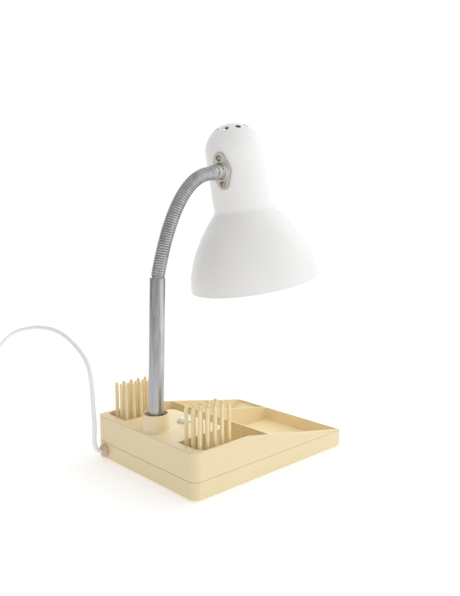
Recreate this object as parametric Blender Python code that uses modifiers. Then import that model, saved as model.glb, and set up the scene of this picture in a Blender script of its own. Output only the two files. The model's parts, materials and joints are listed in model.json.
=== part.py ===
"""A gooseneck desk lamp on a desk-organiser base.

The origin is on the ground under the middle of the base. +Z is up, +Y points to the rear, where the
stem stands and the mains cord leaves, and the pencil tray is at the front, towards -Y.
"""

import math

import bmesh
import bpy
from mathutils import Matrix, Vector

MM = 0.001
GAP = 0.3 * MM

# Base
BASE_LENGTH = 224 * MM
BASE_WIDTH = 170 * MM
REAR_CORNER = 9 * MM
FRONT_CORNER = 3 * MM
PAN_BOTTOM = 1.2 * MM
PAN_FLOOR = 3.2 * MM
PARTING_Z = 19.5 * MM
DECK_Z = 48.3 * MM
DECK_UNDERSIDE = 45.8 * MM
FRONT_RIM_Z = 20.0 * MM
SLOPE_START_Y = 39 * MM
PAN_WALL = 1.5 * MM
COVER_INSET = PAN_WALL + GAP
INNER_X = 82.2 * MM
INNER_FRONT_Y = -109.2 * MM

# Compartments
CROSS_WALL = (6 * MM, 8 * MM)
DIVIDER = (33 * MM, 35 * MM)
TRAY_FLOOR = 5.5 * MM
WELL_FLOOR = 14 * MM
WELL_UNDERSIDE = 12.4 * MM
WELL_REAR_Y = 102 * MM
WELL_FAR_X = 80 * MM
DECK_X = (-47.5 * MM, 42.5 * MM)
DECK_FRONT_Y = 37 * MM
RAMP_ANGLE = math.radians(27.6)
RAMP_FOOT_Y = -86.5 * MM

# Pins
PIN_RADIUS = 1.95 * MM
PIN_TOP = 85.5 * MM
PIN_ROWS = [58.2 * MM + i * 9.6 * MM for i in range(5)]
NEAR_PIN_COLUMNS = [-74.7 * MM + i * 10.1 * MM for i in range(3)]
FAR_PIN_COLUMNS = [48.4 * MM + i * 9 * MM for i in range(3)]

# Stem, leaning a little to the front
STEM_FOOT = Vector((-3.2 * MM, 95.47 * MM, DECK_Z))
STEM_LEAN = math.radians(1.85)
CUP_OFFSET = 0.5 * MM
CUP_BOTTOM = DECK_Z - 0.3 * MM
STEM_LENGTH = 158.25 * MM

# Button and its switch
BUTTON_X = -3.5 * MM
BUTTON_Y = 58 * MM

# Gooseneck
HOSE_RADIUS = 7.2 * MM
HOSE_GUIDES = (
    Vector((-3.2, 90.4, 206.5)) * MM,
    Vector((-13.3, 72.7, 315.8)) * MM,
    Vector((-21.7, 39.8, 310.8)) * MM,
    Vector((-17.1, 24.7, 313.4)) * MM,
)
JOINT_SPACING = 17.5 * MM
FIRST_JOINT = 16 * MM
JOINT_COUNT = 7
JOINT_GAP = 0.6 * MM

# Shade, turned about an axis that runs down through its opening
SHADE_POINT = Vector((-3.2, -20.6, 321.2)) * MM
SHADE_AXIS = Vector((-0.0416, -0.1826, -0.9823)).normalized()
SHADE_WALL = 0.8 * MM
DOME_RADIUS = 32 * MM
DOME_HEIGHT = 30.5 * MM
DOME_BASE = -18 * MM
NECK_END = 46 * MM
NECK_RADIUS = 32.5 * MM
BELL_START = 49 * MM
BELL_END = 129.6 * MM
BELL_FULL_RADIUS = 73.5 * MM
BELL_REACH = 131.0
BELL_GAIN = 0.01033
BELL_POWER = 1.865
VENT_RADIUS = 3.3 * MM
VENT_RING = 17.5 * MM
VENT_COUNT = 8
VENT_START = math.radians(75)

# Side fitting that joins the hose to the shade
SIDE = Vector((-0.288, 0.943, -0.163))
SIDE = (SIDE - SIDE.dot(SHADE_AXIS) * SHADE_AXIS).normalized()
FLANGE_FACE = 36 * MM
BARREL_END = 48 * MM
FLANGE_SCREW_OFFSET = 13.8 * MM

# Cord
CORD_RADIUS = 2.5 * MM
GLAND = Vector((69 * MM, 112 * MM, 10.3 * MM))
GLAND_REACH = 4.4 * MM
COIL_CENTRE = Vector((420 * MM, 152 * MM, 0))
COIL_RADIUS = 28.15 * MM
COIL_HALF_WIDTH = 10.65 * MM
COIL_HEIGHT = 10.6 * MM

PARTS = None
CUTTERS = None


# ---------------------------------------------------------------- scene and materials

def clear_scene():
    for old in list(bpy.data.objects):
        bpy.data.objects.remove(old, do_unlink=True)


def new_collection(name):
    collection = bpy.data.collections.new(name)
    bpy.context.scene.collection.children.link(collection)
    return collection


def paint(name, colour, roughness, metallic=0.0):
    material = bpy.data.materials.new(name)
    material.use_nodes = True
    shader = material.node_tree.nodes["Principled BSDF"]
    shader.inputs["Base Color"].default_value = (*colour, 1)
    shader.inputs["Roughness"].default_value = roughness
    shader.inputs["Metallic"].default_value = metallic
    return material


def make_materials():
    return {
        "cream_plastic": paint("cream_plastic", (0.83, 0.74, 0.57), 0.35),
        "white_paint": paint("white_paint", (0.82, 0.80, 0.77), 0.3),
        "white_plastic": paint("white_plastic", (0.85, 0.85, 0.84), 0.35),
        "pin_plastic": paint("pin_plastic", (0.86, 0.80, 0.68), 0.4),
        "satin_steel": paint("satin_steel", (0.60, 0.60, 0.61), 0.3, 1.0),
        "hose_steel": paint("hose_steel", (0.50, 0.50, 0.51), 0.28, 1.0),
        "zinc": paint("zinc", (0.55, 0.55, 0.56), 0.4, 1.0),
        "bronze_screw": paint("bronze_screw", (0.42, 0.30, 0.22), 0.4, 1.0),
        "brass": paint("brass", (0.75, 0.57, 0.28), 0.35, 1.0),
        "iron": paint("iron", (0.16, 0.16, 0.17), 0.6, 0.8),
        "black_plastic": paint("black_plastic", (0.03, 0.03, 0.03), 0.4),
        "rubber": paint("rubber", (0.05, 0.05, 0.05), 0.8),
        "cord_plastic": paint("cord_plastic", (0.80, 0.79, 0.80), 0.45),
        "porcelain": paint("porcelain", (0.87, 0.86, 0.82), 0.2),
        "bulb_glass": paint("bulb_glass", (0.93, 0.93, 0.91), 0.15),
    }


# ---------------------------------------------------------------- modelling helpers

def place(obj, matrix):
    obj.matrix_world = matrix
    return obj


def make_object(name, mesh, material=None, cutter=False):
    obj = bpy.data.objects.new(name, mesh)
    if material is not None:
        mesh.materials.clear()
        mesh.materials.append(material)
    if cutter:
        CUTTERS.objects.link(obj)
        obj.hide_render = True
        obj.display_type = "WIRE"
    else:
        PARTS.objects.link(obj)
    return obj


def frame_along(point, direction, side=None):
    """A frame at a point whose Z runs along a direction, with X as near to side as it can be."""
    z = Vector(direction).normalized()
    guess = Vector(side) if side is not None else Vector((1, 0, 0))
    if abs(guess.dot(z)) > 0.98 * guess.length:
        guess = Vector((0, 1, 0))
    x = (guess - guess.dot(z) * z).normalized()
    y = z.cross(x)
    matrix = Matrix((x, y, z)).transposed().to_4x4()
    matrix.translation = Vector(point)
    return matrix


def box(name, low, high, material=None, cutter=False, matrix=None):
    """A box from its low corner to its high corner, in the frame of the matrix."""
    low = Vector(low)
    high = Vector(high)
    shape = bmesh.new()
    bmesh.ops.create_cube(shape, size=1)
    bmesh.ops.scale(shape, vec=high - low, verts=shape.verts)
    bmesh.ops.translate(shape, vec=(low + high) / 2, verts=shape.verts)
    mesh = bpy.data.meshes.new(name)
    shape.to_mesh(mesh)
    shape.free()
    obj = make_object(name, mesh, material, cutter)
    return place(obj, matrix or Matrix())


def rod(name, start, end, radius, material=None, cutter=False, sides=24, end_radius=None):
    """A straight round bar, or a cone, between two points."""
    start = Vector(start)
    end = Vector(end)
    shape = bmesh.new()
    bmesh.ops.create_cone(
        shape, cap_ends=True, segments=sides, radius1=radius,
        radius2=radius if end_radius is None else end_radius, depth=(end - start).length)
    mesh = bpy.data.meshes.new(name)
    shape.to_mesh(mesh)
    shape.free()
    mesh.shade_smooth()
    mesh.set_sharp_from_angle(angle=math.radians(40))
    obj = make_object(name, mesh, material, cutter)
    return place(obj, frame_along((start + end) / 2, end - start))


def turned(name, profile, matrix, material=None, cutter=False, steps=24, closed=False):
    """A profile of (radius, height) points, top to bottom down its outer side, turned about Z."""
    mesh = bpy.data.meshes.new(name)
    count = len(profile)
    edges = [(i, i + 1) for i in range(count - 1)]
    if closed:
        edges.append((count - 1, 0))
    mesh.from_pydata([(radius, 0, height) for radius, height in profile], edges, [])
    obj = make_object(name, mesh, material, cutter)
    screw = obj.modifiers.new("turn", "SCREW")
    screw.steps = steps
    screw.render_steps = steps
    screw.use_merge_vertices = True
    screw.merge_threshold = 0.00001
    screw.use_smooth_shade = True
    return place(obj, matrix)


def arc(centre, radius, start, end, steps):
    """Points on an arc in the plane, with its ends, between two angles in degrees."""
    points = []
    for i in range(steps + 1):
        angle = math.radians(start + (end - start) * i / steps)
        points.append((centre[0] + radius * math.cos(angle), centre[1] + radius * math.sin(angle)))
    return points


def rounded_rectangle(x0, x1, y0, y1, front, rear, steps=4):
    """The outline of a rectangle with its own corner radius at the front and at the rear."""
    points = arc((x1 - front, y0 + front), front, -90, 0, steps)
    points += arc((x1 - rear, y1 - rear), rear, 0, 90, steps)
    points += arc((x0 + rear, y1 - rear), rear, 90, 180, steps)
    points += arc((x0 + front, y0 + front), front, 180, 270, steps)
    return points


def flat_mesh(name, outline, low, high):
    """A flat outline given thickness between two heights, as a closed mesh."""
    curve = bpy.data.curves.new(name + "_outline", "CURVE")
    curve.dimensions = "2D"
    curve.fill_mode = "BOTH"
    curve.extrude = (high - low) / 2
    spline = curve.splines.new("POLY")
    spline.points.add(len(outline) - 1)
    for point, (x, y) in zip(spline.points, outline):
        point.co = (x, y, 0, 1)
    spline.use_cyclic_u = True
    guide = bpy.data.objects.new(name + "_outline", curve)
    bpy.context.scene.collection.objects.link(guide)
    bpy.context.view_layer.update()
    depsgraph = bpy.context.evaluated_depsgraph_get()
    mesh = bpy.data.meshes.new_from_object(guide.evaluated_get(depsgraph))
    bpy.data.objects.remove(guide, do_unlink=True)
    shape = bmesh.new()
    shape.from_mesh(mesh)
    bmesh.ops.remove_doubles(shape, verts=shape.verts, dist=0.00001)
    bmesh.ops.dissolve_limit(shape, angle_limit=0.001, verts=shape.verts, edges=shape.edges)
    bmesh.ops.recalc_face_normals(shape, faces=shape.faces)
    bmesh.ops.translate(shape, vec=(0, 0, (low + high) / 2), verts=shape.verts)
    shape.to_mesh(mesh)
    shape.free()
    return mesh


def slab(name, outline, low, high, material=None, cutter=False, matrix=None):
    mesh = flat_mesh(name, outline, low, high)
    return place(make_object(name, mesh, material, cutter), matrix or Matrix())


def combine(obj, other, operation):
    modifier = obj.modifiers.new(other.name, "BOOLEAN")
    modifier.operation = operation
    modifier.object = other
    modifier.solver = "EXACT"


def cut(obj, *cutters):
    for other in cutters:
        combine(obj, other, "DIFFERENCE")


def join(obj, *others):
    for other in others:
        combine(obj, other, "UNION")


def wire(name, points, radius, material, resolution=2):
    """A round cord through a list of points, with flat closed ends."""
    curve = bpy.data.curves.new(name, "CURVE")
    curve.dimensions = "3D"
    curve.bevel_depth = radius
    curve.bevel_resolution = resolution
    curve.use_fill_caps = True
    spline = curve.splines.new("POLY")
    spline.points.add(len(points) - 1)
    for target, point in zip(spline.points, points):
        target.co = (*point, 1)
    curve.materials.append(material)
    obj = bpy.data.objects.new(name, curve)
    PARTS.objects.link(obj)
    return obj


def smooth_route(guides, spacing):
    """Evenly spaced points on a smooth curve that passes through the guide points."""
    guides = [Vector(g) for g in guides]
    ends = [guides[0] * 2 - guides[1]] + guides + [guides[-1] * 2 - guides[-2]]
    dense = []
    for a, b, c, d in zip(ends, ends[1:], ends[2:], ends[3:]):
        for i in range(24):
            t = i / 24
            dense.append(0.5 * (2 * b + (c - a) * t + (2 * a - 5 * b + 4 * c - d) * t ** 2
                                + (3 * b - a - 3 * c + d) * t ** 3))
    dense.append(guides[-1])
    travelled = [0.0]
    for a, b in zip(dense, dense[1:]):
        travelled.append(travelled[-1] + (b - a).length)
    count = max(2, round(travelled[-1] / spacing))
    points = []
    segment = 0
    for i in range(count + 1):
        target = travelled[-1] * i / count
        while segment < len(dense) - 2 and travelled[segment + 1] < target:
            segment += 1
        step = travelled[segment + 1] - travelled[segment]
        share = (target - travelled[segment]) / step
        points.append(dense[segment].lerp(dense[segment + 1], share))
    return points


# ---------------------------------------------------------------- base

def base_outline(inset):
    half_x = BASE_WIDTH / 2 - inset
    half_y = BASE_LENGTH / 2 - inset
    return rounded_rectangle(
        -half_x, half_x, -half_y, half_y, max(FRONT_CORNER - inset, 1 * MM), REAR_CORNER - inset)


CASE_SCREWS = [(-64 * MM, 20 * MM), (60 * MM, 20 * MM), (-64 * MM, 86 * MM), (60 * MM, 86 * MM)]
FOOT_SPOTS = [(x * MM, y * MM) for x in (-70, 70) for y in (-98, 98)]


def build_pan(looks):
    pan = slab("base_pan", base_outline(0), PAN_BOTTOM, PARTING_Z - GAP / 2, looks["cream_plastic"])
    cut(pan, slab("pan_hollow", base_outline(PAN_WALL), PAN_FLOOR, 30 * MM, cutter=True))
    for i, (x, y) in enumerate(CASE_SCREWS):
        join(pan, rod(f"pan_boss_{i}", (x, y, 2 * MM), (x, y, 5 * MM), 5 * MM, cutter=True, sides=16))
        cut(pan, rod(f"pan_screw_hole_{i}", (x, y, -1 * MM), (x, y, 9 * MM), 1.8 * MM, cutter=True, sides=12))
        cut(pan, rod(f"pan_screw_recess_{i}", (x, y, -1 * MM), (x, y, 3.4 * MM), 3.2 * MM, cutter=True, sides=16))
    for i, (x, y) in enumerate(FOOT_SPOTS):
        cut(pan, rod(f"foot_hole_{i}", (x, y, -1 * MM), (x, y, 9 * MM), 2.8 * MM, cutter=True, sides=16))
    for i, y in enumerate(CLAMP_SCREW_YS):
        join(pan, rod(f"clamp_boss_{i}", (CLAMP_X, y, 2 * MM), (CLAMP_X, y, 9.5 * MM), 3 * MM,
                      cutter=True, sides=16))
        cut(pan, rod(f"clamp_boss_hole_{i}", (CLAMP_X, y, 4.5 * MM), (CLAMP_X, y, 12 * MM), 1.4 * MM,
                     cutter=True, sides=12))
    cut(pan, gland_cutter("pan_gland_hole"))
    return pan


def gland_cutter(name):
    reach = Vector((0, 6 * MM, 0))
    return rod(name, GLAND - reach, GLAND + reach, 5.5 * MM, cutter=True)


def slope_matrix():
    """A frame on the sloping rim: Y runs up the slope and Z stands out of it."""
    rise = math.atan2(DECK_Z - FRONT_RIM_Z, SLOPE_START_Y + BASE_LENGTH / 2)
    return Matrix.Translation((0, -BASE_LENGTH / 2, FRONT_RIM_Z)) @ Matrix.Rotation(rise, 4, "X")


def well_cutter():
    wells = slab("well_hollow", rounded_rectangle(-INNER_X, WELL_FAR_X, CROSS_WALL[1], WELL_REAR_Y,
                                                  3 * MM, 8 * MM), WELL_FLOOR, 90 * MM, cutter=True)
    block = slab("deck_block", rounded_rectangle(*DECK_X, DECK_FRONT_Y, 130 * MM, 8 * MM, 1 * MM),
                 0, 100 * MM, cutter=True)
    cut(wells, block)
    return wells


def groove_cutter():
    groove = slab("pencil_groove", rounded_rectangle(DIVIDER[1], INNER_X, INNER_FRONT_Y, CROSS_WALL[0],
                                                     3 * MM, 3 * MM), TRAY_FLOOR, 90 * MM, cutter=True)
    ramp = Matrix.Translation((0, RAMP_FOOT_Y, TRAY_FLOOR)) @ Matrix.Rotation(-RAMP_ANGLE, 4, "X")
    cut(groove, box("groove_ramp", (20 * MM, -60 * MM, -30 * MM), (100 * MM, 0, 0), cutter=True, matrix=ramp))
    return groove


def underside_cutters():
    side = INNER_X - 1 * MM
    rear = BASE_LENGTH / 2 - 2.8 * MM
    under_wells = rounded_rectangle(-side, side, CROSS_WALL[1], rear, 1 * MM, 6 * MM)
    under_deck = rounded_rectangle(DECK_X[0] + 2 * MM, DECK_X[1] - 2 * MM, DECK_FRONT_Y + 2 * MM, rear,
                                   6 * MM, 1 * MM)
    behind_wells = rounded_rectangle(-side, side, WELL_REAR_Y + 2 * MM, rear, 1 * MM, 3 * MM)
    return [
        slab("under_wells", under_wells, -5 * MM, WELL_UNDERSIDE, cutter=True),
        slab("under_deck", under_deck, -4 * MM, DECK_UNDERSIDE, cutter=True),
        slab("behind_wells", behind_wells, -3 * MM, DECK_UNDERSIDE - 0.5 * MM, cutter=True),
    ]


def stem_matrix():
    """The stem's own frame, with Z along it, at the deck."""
    return Matrix.Translation(STEM_FOOT) @ Matrix.Rotation(STEM_LEAN, 4, "X")


SWITCH_SCREW_YS = (BUTTON_Y - 14 * MM, BUTTON_Y + 14 * MM)


def build_cover(looks):
    cover = slab("base_cover", base_outline(0), PARTING_Z + GAP / 2, DECK_Z, looks["cream_plastic"])
    cut(cover, box("slope_cut", (-0.2, -0.1, 0), (0.2, 0.2, 0.1), cutter=True, matrix=slope_matrix()))
    join(cover, slab("cover_skirt", base_outline(COVER_INSET), 3.5 * MM, PARTING_Z + 0.4 * MM, cutter=True))
    cut(cover, *underside_cutters())
    cut(cover, well_cutter())
    cut(cover, slab("tray_hollow", rounded_rectangle(-INNER_X, DIVIDER[0], INNER_FRONT_Y, CROSS_WALL[0],
                                                     3 * MM, 3 * MM), TRAY_FLOOR, 90 * MM, cutter=True))
    cut(cover, groove_cutter())
    for i, (x, y) in enumerate(CASE_SCREWS):
        join(cover, rod(f"cover_post_{i}", (x, y, 5.3 * MM), (x, y, WELL_UNDERSIDE + 0.8 * MM), 4 * MM,
                        cutter=True, sides=16))
        cut(cover, rod(f"cover_post_hole_{i}", (x, y, 0), (x, y, 11.4 * MM), 1.8 * MM, cutter=True, sides=12))
    for i, y in enumerate(SWITCH_SCREW_YS):
        join(cover, rod(f"switch_post_{i}", (BUTTON_X, y, 40.3 * MM), (BUTTON_X, y, DECK_UNDERSIDE + 1 * MM),
                        3 * MM, cutter=True, sides=16))
        cut(cover, rod(f"switch_post_hole_{i}", (BUTTON_X, y, 30 * MM), (BUTTON_X, y, 45 * MM), 1.6 * MM,
                       cutter=True, sides=12))
    stem = stem_matrix()
    cut(cover, rod("stem_hole", stem @ Vector((0, 0, -6 * MM)), stem @ Vector((0, 0, 4 * MM)), 6.4 * MM,
                   cutter=True))
    cup = Vector((STEM_FOOT.x, STEM_FOOT.y - CUP_OFFSET, 0))
    cut(cover, rod("cup_seat", cup + Vector((0, 0, CUP_BOTTOM - GAP)), cup + Vector((0, 0, DECK_Z + 2 * MM)),
                   14.6 * MM, cutter=True, sides=48))
    cut(cover, gland_cutter("cover_gland_hole"))
    cut(cover, rod("button_hole", (BUTTON_X, BUTTON_Y, 40 * MM), (BUTTON_X, BUTTON_Y, 60 * MM), 7.2 * MM,
                   cutter=True, sides=24))
    return cover


def build_stem_cup(looks):
    """The round cup about the stem, set a little into the deck."""
    low = CUP_BOTTOM / MM
    cup = [(12.6, 66.4), (13.1, 65.9), (14.25, low), (11.8, low), (11.8, 65.9), (12.2, 66.4)]
    upright = Matrix.Translation((STEM_FOOT.x, STEM_FOOT.y - CUP_OFFSET, 0))
    turned("stem_cup", [(radius * MM, height * MM) for radius, height in cup], upright, looks["cream_plastic"],
           steps=28, closed=True)


def build_pin_holder(name, columns, x0, x1, looks):
    """A plate on the pocket's floor that carries upright round-tipped pins."""
    plate_top = WELL_FLOOR + 3.3 * MM
    plate = slab(name, rounded_rectangle(x0, x1, PIN_ROWS[0] - 5.5 * MM, WELL_REAR_Y - 0.6 * MM, 2 * MM, 7.6 * MM),
                 WELL_FLOOR + GAP, plate_top, looks["pin_plastic"])
    tip = [(PIN_RADIUS * math.sin(math.radians(a)), PIN_TOP - PIN_RADIUS * (1 - math.cos(math.radians(a))))
           for a in (0, 50, 90)]
    profile = tip + [(PIN_RADIUS, plate_top - 1 * MM), (0, plate_top - 1 * MM)]
    for row, y in enumerate(PIN_ROWS):
        for column, x in enumerate(columns):
            pin = turned(f"{name}_pin_{row}_{column}", profile, Matrix.Translation((x, y, 0)), cutter=True, steps=8)
            join(plate, pin)
    return plate


def build_feet_and_screws(looks):
    foot = [(0, 3.0 * MM), (2.4 * MM, 3.0 * MM), (2.4 * MM, 0.9 * MM), (6.5 * MM, 0.9 * MM), (6.8 * MM, 0.4 * MM),
            (6.4 * MM, 0), (0, 0)]
    for i, (x, y) in enumerate(FOOT_SPOTS):
        turned(f"rubber_foot_{i + 1}", foot, Matrix.Translation((x, y, 0)), looks["rubber"], steps=16)
    screw = [(0, 11 * MM), (1.2 * MM, 11 * MM), (1.45 * MM, 10.4 * MM), (1.45 * MM, 3.1 * MM),
             (2.8 * MM, 3.1 * MM), (2.8 * MM, 1.9 * MM), (2.3 * MM, 1.4 * MM), (0, 1.4 * MM)]
    for i, (x, y) in enumerate(CASE_SCREWS):
        turned(f"case_screw_{i + 1}", screw, Matrix.Translation((x, y, 0)), looks["zinc"], steps=12)


def build_stem(looks):
    top = STEM_LENGTH / MM
    body = [(8, top), (8, 0.5), (6, 0.5), (6, -12.5), (4.5, -12.5), (4.5, 3), (6.6, 3), (6.6, top)]
    profile = [(radius * MM, height * MM) for radius, height in body]
    turned("stem_tube", profile, stem_matrix(), looks["satin_steel"], steps=24, closed=True)
    washer = [(12 * MM, -3.2 * MM), (12 * MM, -4.4 * MM), (6.3 * MM, -4.4 * MM), (6.3 * MM, -3.2 * MM)]
    turned("stem_washer", washer, stem_matrix(), looks["zinc"], steps=20, closed=True)
    nut = [(11 * MM, -4.7 * MM), (11 * MM, -10.7 * MM), (7.3 * MM, -10.7 * MM), (7.3 * MM, -4.7 * MM)]
    turned("stem_locknut", nut, stem_matrix(), looks["zinc"], steps=6, closed=True)


def build_switch(looks):
    upright = Matrix.Translation((BUTTON_X, BUTTON_Y, 0))
    cap = [(0, 53.3), (4.4, 53.2), (5.7, 52.7), (6.35, 51.7), (6.5, 50.4), (6.5, 44), (2, 44), (2, 36), (0, 36)]
    turned("push_button", [(radius * MM, height * MM) for radius, height in cap], upright,
           looks["white_plastic"], steps=20)
    body = box("switch_body", (-10 * MM, -10 * MM, 22 * MM), (10 * MM, 10 * MM, 40 * MM), looks["black_plastic"],
               matrix=upright)
    join(body, box("switch_lugs", (-4 * MM, -17.5 * MM, 38 * MM), (4 * MM, 17.5 * MM, 40 * MM), cutter=True,
                   matrix=upright))
    cut(body, rod("plunger_bore", (BUTTON_X, BUTTON_Y, 32.5 * MM), (BUTTON_X, BUTTON_Y, 45 * MM), 2.4 * MM,
                  cutter=True, sides=16))
    screw = [(0, 44 * MM), (1.1 * MM, 43.6 * MM), (1.25 * MM, 43 * MM), (1.25 * MM, 37.7 * MM),
             (2.5 * MM, 37.7 * MM), (2.5 * MM, 36.3 * MM), (0, 36.3 * MM)]
    for i, y in enumerate(SWITCH_SCREW_YS):
        cut(body, rod(f"switch_lug_hole_{i}", (BUTTON_X, y, 30 * MM), (BUTTON_X, y, 45 * MM), 1.6 * MM,
                      cutter=True, sides=12))
        turned(f"switch_screw_{i + 1}", screw, Matrix.Translation((BUTTON_X, y, 0)), looks["zinc"], steps=12)


CLAMP_X = 36 * MM
CLAMP_SCREW_YS = (85.5 * MM, 98.5 * MM)


def build_base_inside(looks):
    """The ballast and the mains parts that sit under the deck."""
    slab("ballast_plate", rounded_rectangle(-48 * MM, 44 * MM, 22 * MM, 78 * MM, 3 * MM, 3 * MM),
         PAN_FLOOR + GAP, 10 * MM, looks["iron"])
    block = box("terminal_block", (6 * MM, 84 * MM, PAN_FLOOR + GAP), (30 * MM, 99 * MM, 14 * MM),
                looks["white_plastic"])
    for i, x in enumerate((12 * MM, 24 * MM)):
        cut(block, rod(f"terminal_well_{i}", (x, 91.5 * MM, 9 * MM), (x, 91.5 * MM, 20 * MM), 2.2 * MM,
                       cutter=True, sides=12))
    bar = box("cord_clamp", (CLAMP_X - 4 * MM, 81.5 * MM, 9.8 * MM), (CLAMP_X + 4 * MM, 102.5 * MM, 11.8 * MM),
              looks["black_plastic"])
    screw = [(0, 13.6 * MM), (2.2 * MM, 13.4 * MM), (2.5 * MM, 12.1 * MM), (1.1 * MM, 12.1 * MM),
             (1.1 * MM, 5.4 * MM), (0, 5.0 * MM)]
    for i, y in enumerate(CLAMP_SCREW_YS):
        cut(bar, rod(f"clamp_hole_{i}", (CLAMP_X, y, 5 * MM), (CLAMP_X, y, 15 * MM), 1.4 * MM,
                     cutter=True, sides=12))
        turned(f"clamp_screw_{i + 1}", screw, Matrix.Translation((CLAMP_X, y, 0)), looks["zinc"], steps=12)
    inner = [(69, 116.4, 10.3), (69, 113, 10.3), (69, 108.8, 10.2), (68.4, 105.2, 9.1), (66, 101.4, 7.6), (60.5, 98, 6.6), (53, 95, 6.5),
             (45, 92.7, 6.5), (37, 92, 6.6), (30.5, 92, 6.8)]
    wire("mains_lead_inner", smooth_route([Vector(p) * MM for p in inner], 6 * MM), 2.4 * MM,
         looks["cord_plastic"])
    lamp = [(13, 93, 14.5), (12.8, 93.1, 18.6), (8, 94, 24.5), (1.5, 95.4, 28), (-2.3, 96, 31), (-3.1, 95.9, 36),
            (-3.2, 95.5, 44), (-3.2, 95.3, 52)]
    wire("lamp_lead", smooth_route([Vector(p) * MM for p in lamp], 4 * MM), 1.7 * MM, looks["black_plastic"])
    switch = [(10, 87.5, 14.5), (9.8, 87, 17.6), (7.5, 83, 21), (3, 77, 20.5), (-2, 69, 17.5), (-3.5, 62, 16.8), (-3.5, 58.6, 18.4),
              (-3.5, 58, 21.2)]
    wire("switch_lead", smooth_route([Vector(p) * MM for p in switch], 4 * MM), 1.4 * MM,
         looks["black_plastic"])


def build_gland(looks):
    profile = [(2.9, 4.4), (5.2, 4.4), (6.6, 3.7), (7.5, 2.2), (7.5, 0.3), (5.1, 0.3), (5.1, -2.6), (2.9, -2.6)]
    points = [(radius * MM, height * MM) for radius, height in profile]
    turned("cord_gland", points, frame_along(GLAND, (0, 1, 0)), looks["cream_plastic"], steps=24, closed=True)


# ---------------------------------------------------------------- gooseneck

def hose_point(t):
    a, b, c, d = HOSE_GUIDES
    return a * (1 - t) ** 3 + b * 3 * t * (1 - t) ** 2 + c * 3 * t ** 2 * (1 - t) + d * t ** 3


def hose_table():
    """Points along the hose with the length up to each."""
    count = 600
    points = [hose_point(i / count) for i in range(count + 1)]
    lengths = [0.0]
    for a, b in zip(points, points[1:]):
        lengths.append(lengths[-1] + (b - a).length)
    return points, lengths


HOSE_POINTS, HOSE_LENGTHS = hose_table()
HOSE_LENGTH = HOSE_LENGTHS[-1]


def hose_at(length):
    """The point on the hose's centre line at a length, carried on into the stem and the barrel."""
    if length <= 0:
        return HOSE_POINTS[0] + stem_matrix().to_3x3() @ Vector((0, 0, length))
    if length >= HOSE_LENGTH:
        return HOSE_POINTS[-1] + (HOSE_POINTS[-1] - HOSE_POINTS[-2]).normalized() * (length - HOSE_LENGTH)
    index = next(i for i, value in enumerate(HOSE_LENGTHS) if value >= length)
    share = (length - HOSE_LENGTHS[index - 1]) / (HOSE_LENGTHS[index] - HOSE_LENGTHS[index - 1])
    return HOSE_POINTS[index - 1].lerp(HOSE_POINTS[index], share)


def joint_length(index):
    return FIRST_JOINT + index * JOINT_SPACING


def round_end(start, direction):
    """(length, radius) stations of a half-round end whose pole is at a start length."""
    stations = []
    for degrees in (12, 35, 60, 90):
        angle = math.radians(degrees)
        along = HOSE_RADIUS * (1 - math.cos(angle))
        stations.append((start + direction * along, HOSE_RADIUS * math.sin(angle)))
    return stations


def hose_segment(name, stations, origin, looks):
    """One link of the hose: a tube whose radius follows its (length, radius) stations."""
    curve = bpy.data.curves.new(name, "CURVE")
    curve.dimensions = "3D"
    curve.bevel_depth = 1.0
    curve.bevel_resolution = 4
    curve.use_fill_caps = True
    spline = curve.splines.new("POLY")
    spline.points.add(len(stations) - 1)
    for point, (length, radius) in zip(spline.points, stations):
        point.co = (*(hose_at(length) - origin), 1)
        point.radius = radius
    curve.materials.append(looks["hose_steel"])
    obj = bpy.data.objects.new(name, curve)
    PARTS.objects.link(obj)
    return place(obj, Matrix.Translation(origin))


def build_gooseneck(looks):
    """Links with half-round ends that turn about the points between them."""
    half_gap = JOINT_GAP / 2
    last = joint_length(JOINT_COUNT - 1)
    foot = [(-7 * MM, 5.8 * MM), (1.4 * MM, 5.8 * MM), (1.6 * MM, HOSE_RADIUS)]
    foot += round_end(joint_length(0) - half_gap, -1)[::-1]
    hose_segment("gooseneck_foot", foot, HOSE_POINTS[0], looks)
    for i in range(JOINT_COUNT - 1):
        stations = round_end(joint_length(i) + half_gap, 1) + round_end(joint_length(i + 1) - half_gap, -1)[::-1]
        hose_segment(f"gooseneck_link_{i + 1}", stations, hose_at(joint_length(i)), looks)
    end = round_end(last + half_gap, 1)
    end += [(HOSE_LENGTH - 0.6 * MM, HOSE_RADIUS), (HOSE_LENGTH - 0.4 * MM, 5.8 * MM),
            (HOSE_LENGTH + 7 * MM, 5.8 * MM)]
    hose_segment("gooseneck_tip", end, hose_at(last), looks)


# ---------------------------------------------------------------- shade and lampholder

def head_matrix():
    """The head's frame: Z points up along the shade's axis and Y to the side fitting."""
    z = -SHADE_AXIS
    matrix = Matrix((SIDE.cross(z), SIDE, z)).transposed().to_4x4()
    matrix.translation = SHADE_POINT
    return matrix


def bell_radius(along):
    reach = BELL_REACH - along / MM
    return BELL_FULL_RADIUS - BELL_GAIN * reach ** BELL_POWER * MM


def shade_profile(inset):
    """(radius, height) points from the dome's pole to the rim, inset from the outer face."""
    points = []
    for i in range(7):
        angle = math.radians(15 * i)
        points.append(((DOME_RADIUS - inset) * math.sin(angle),
                       -DOME_BASE + (DOME_HEIGHT - inset) * math.cos(angle)))
    points.append((NECK_RADIUS - inset, -NECK_END))
    points.append((bell_radius(BELL_START) - 0.8 * MM - inset, -NECK_END - 1.2 * MM))
    steps = 7
    for i in range(steps + 1):
        along = BELL_START + (BELL_END - BELL_START) * i / steps
        points.append((bell_radius(along) - inset, -along))
    return points


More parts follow.
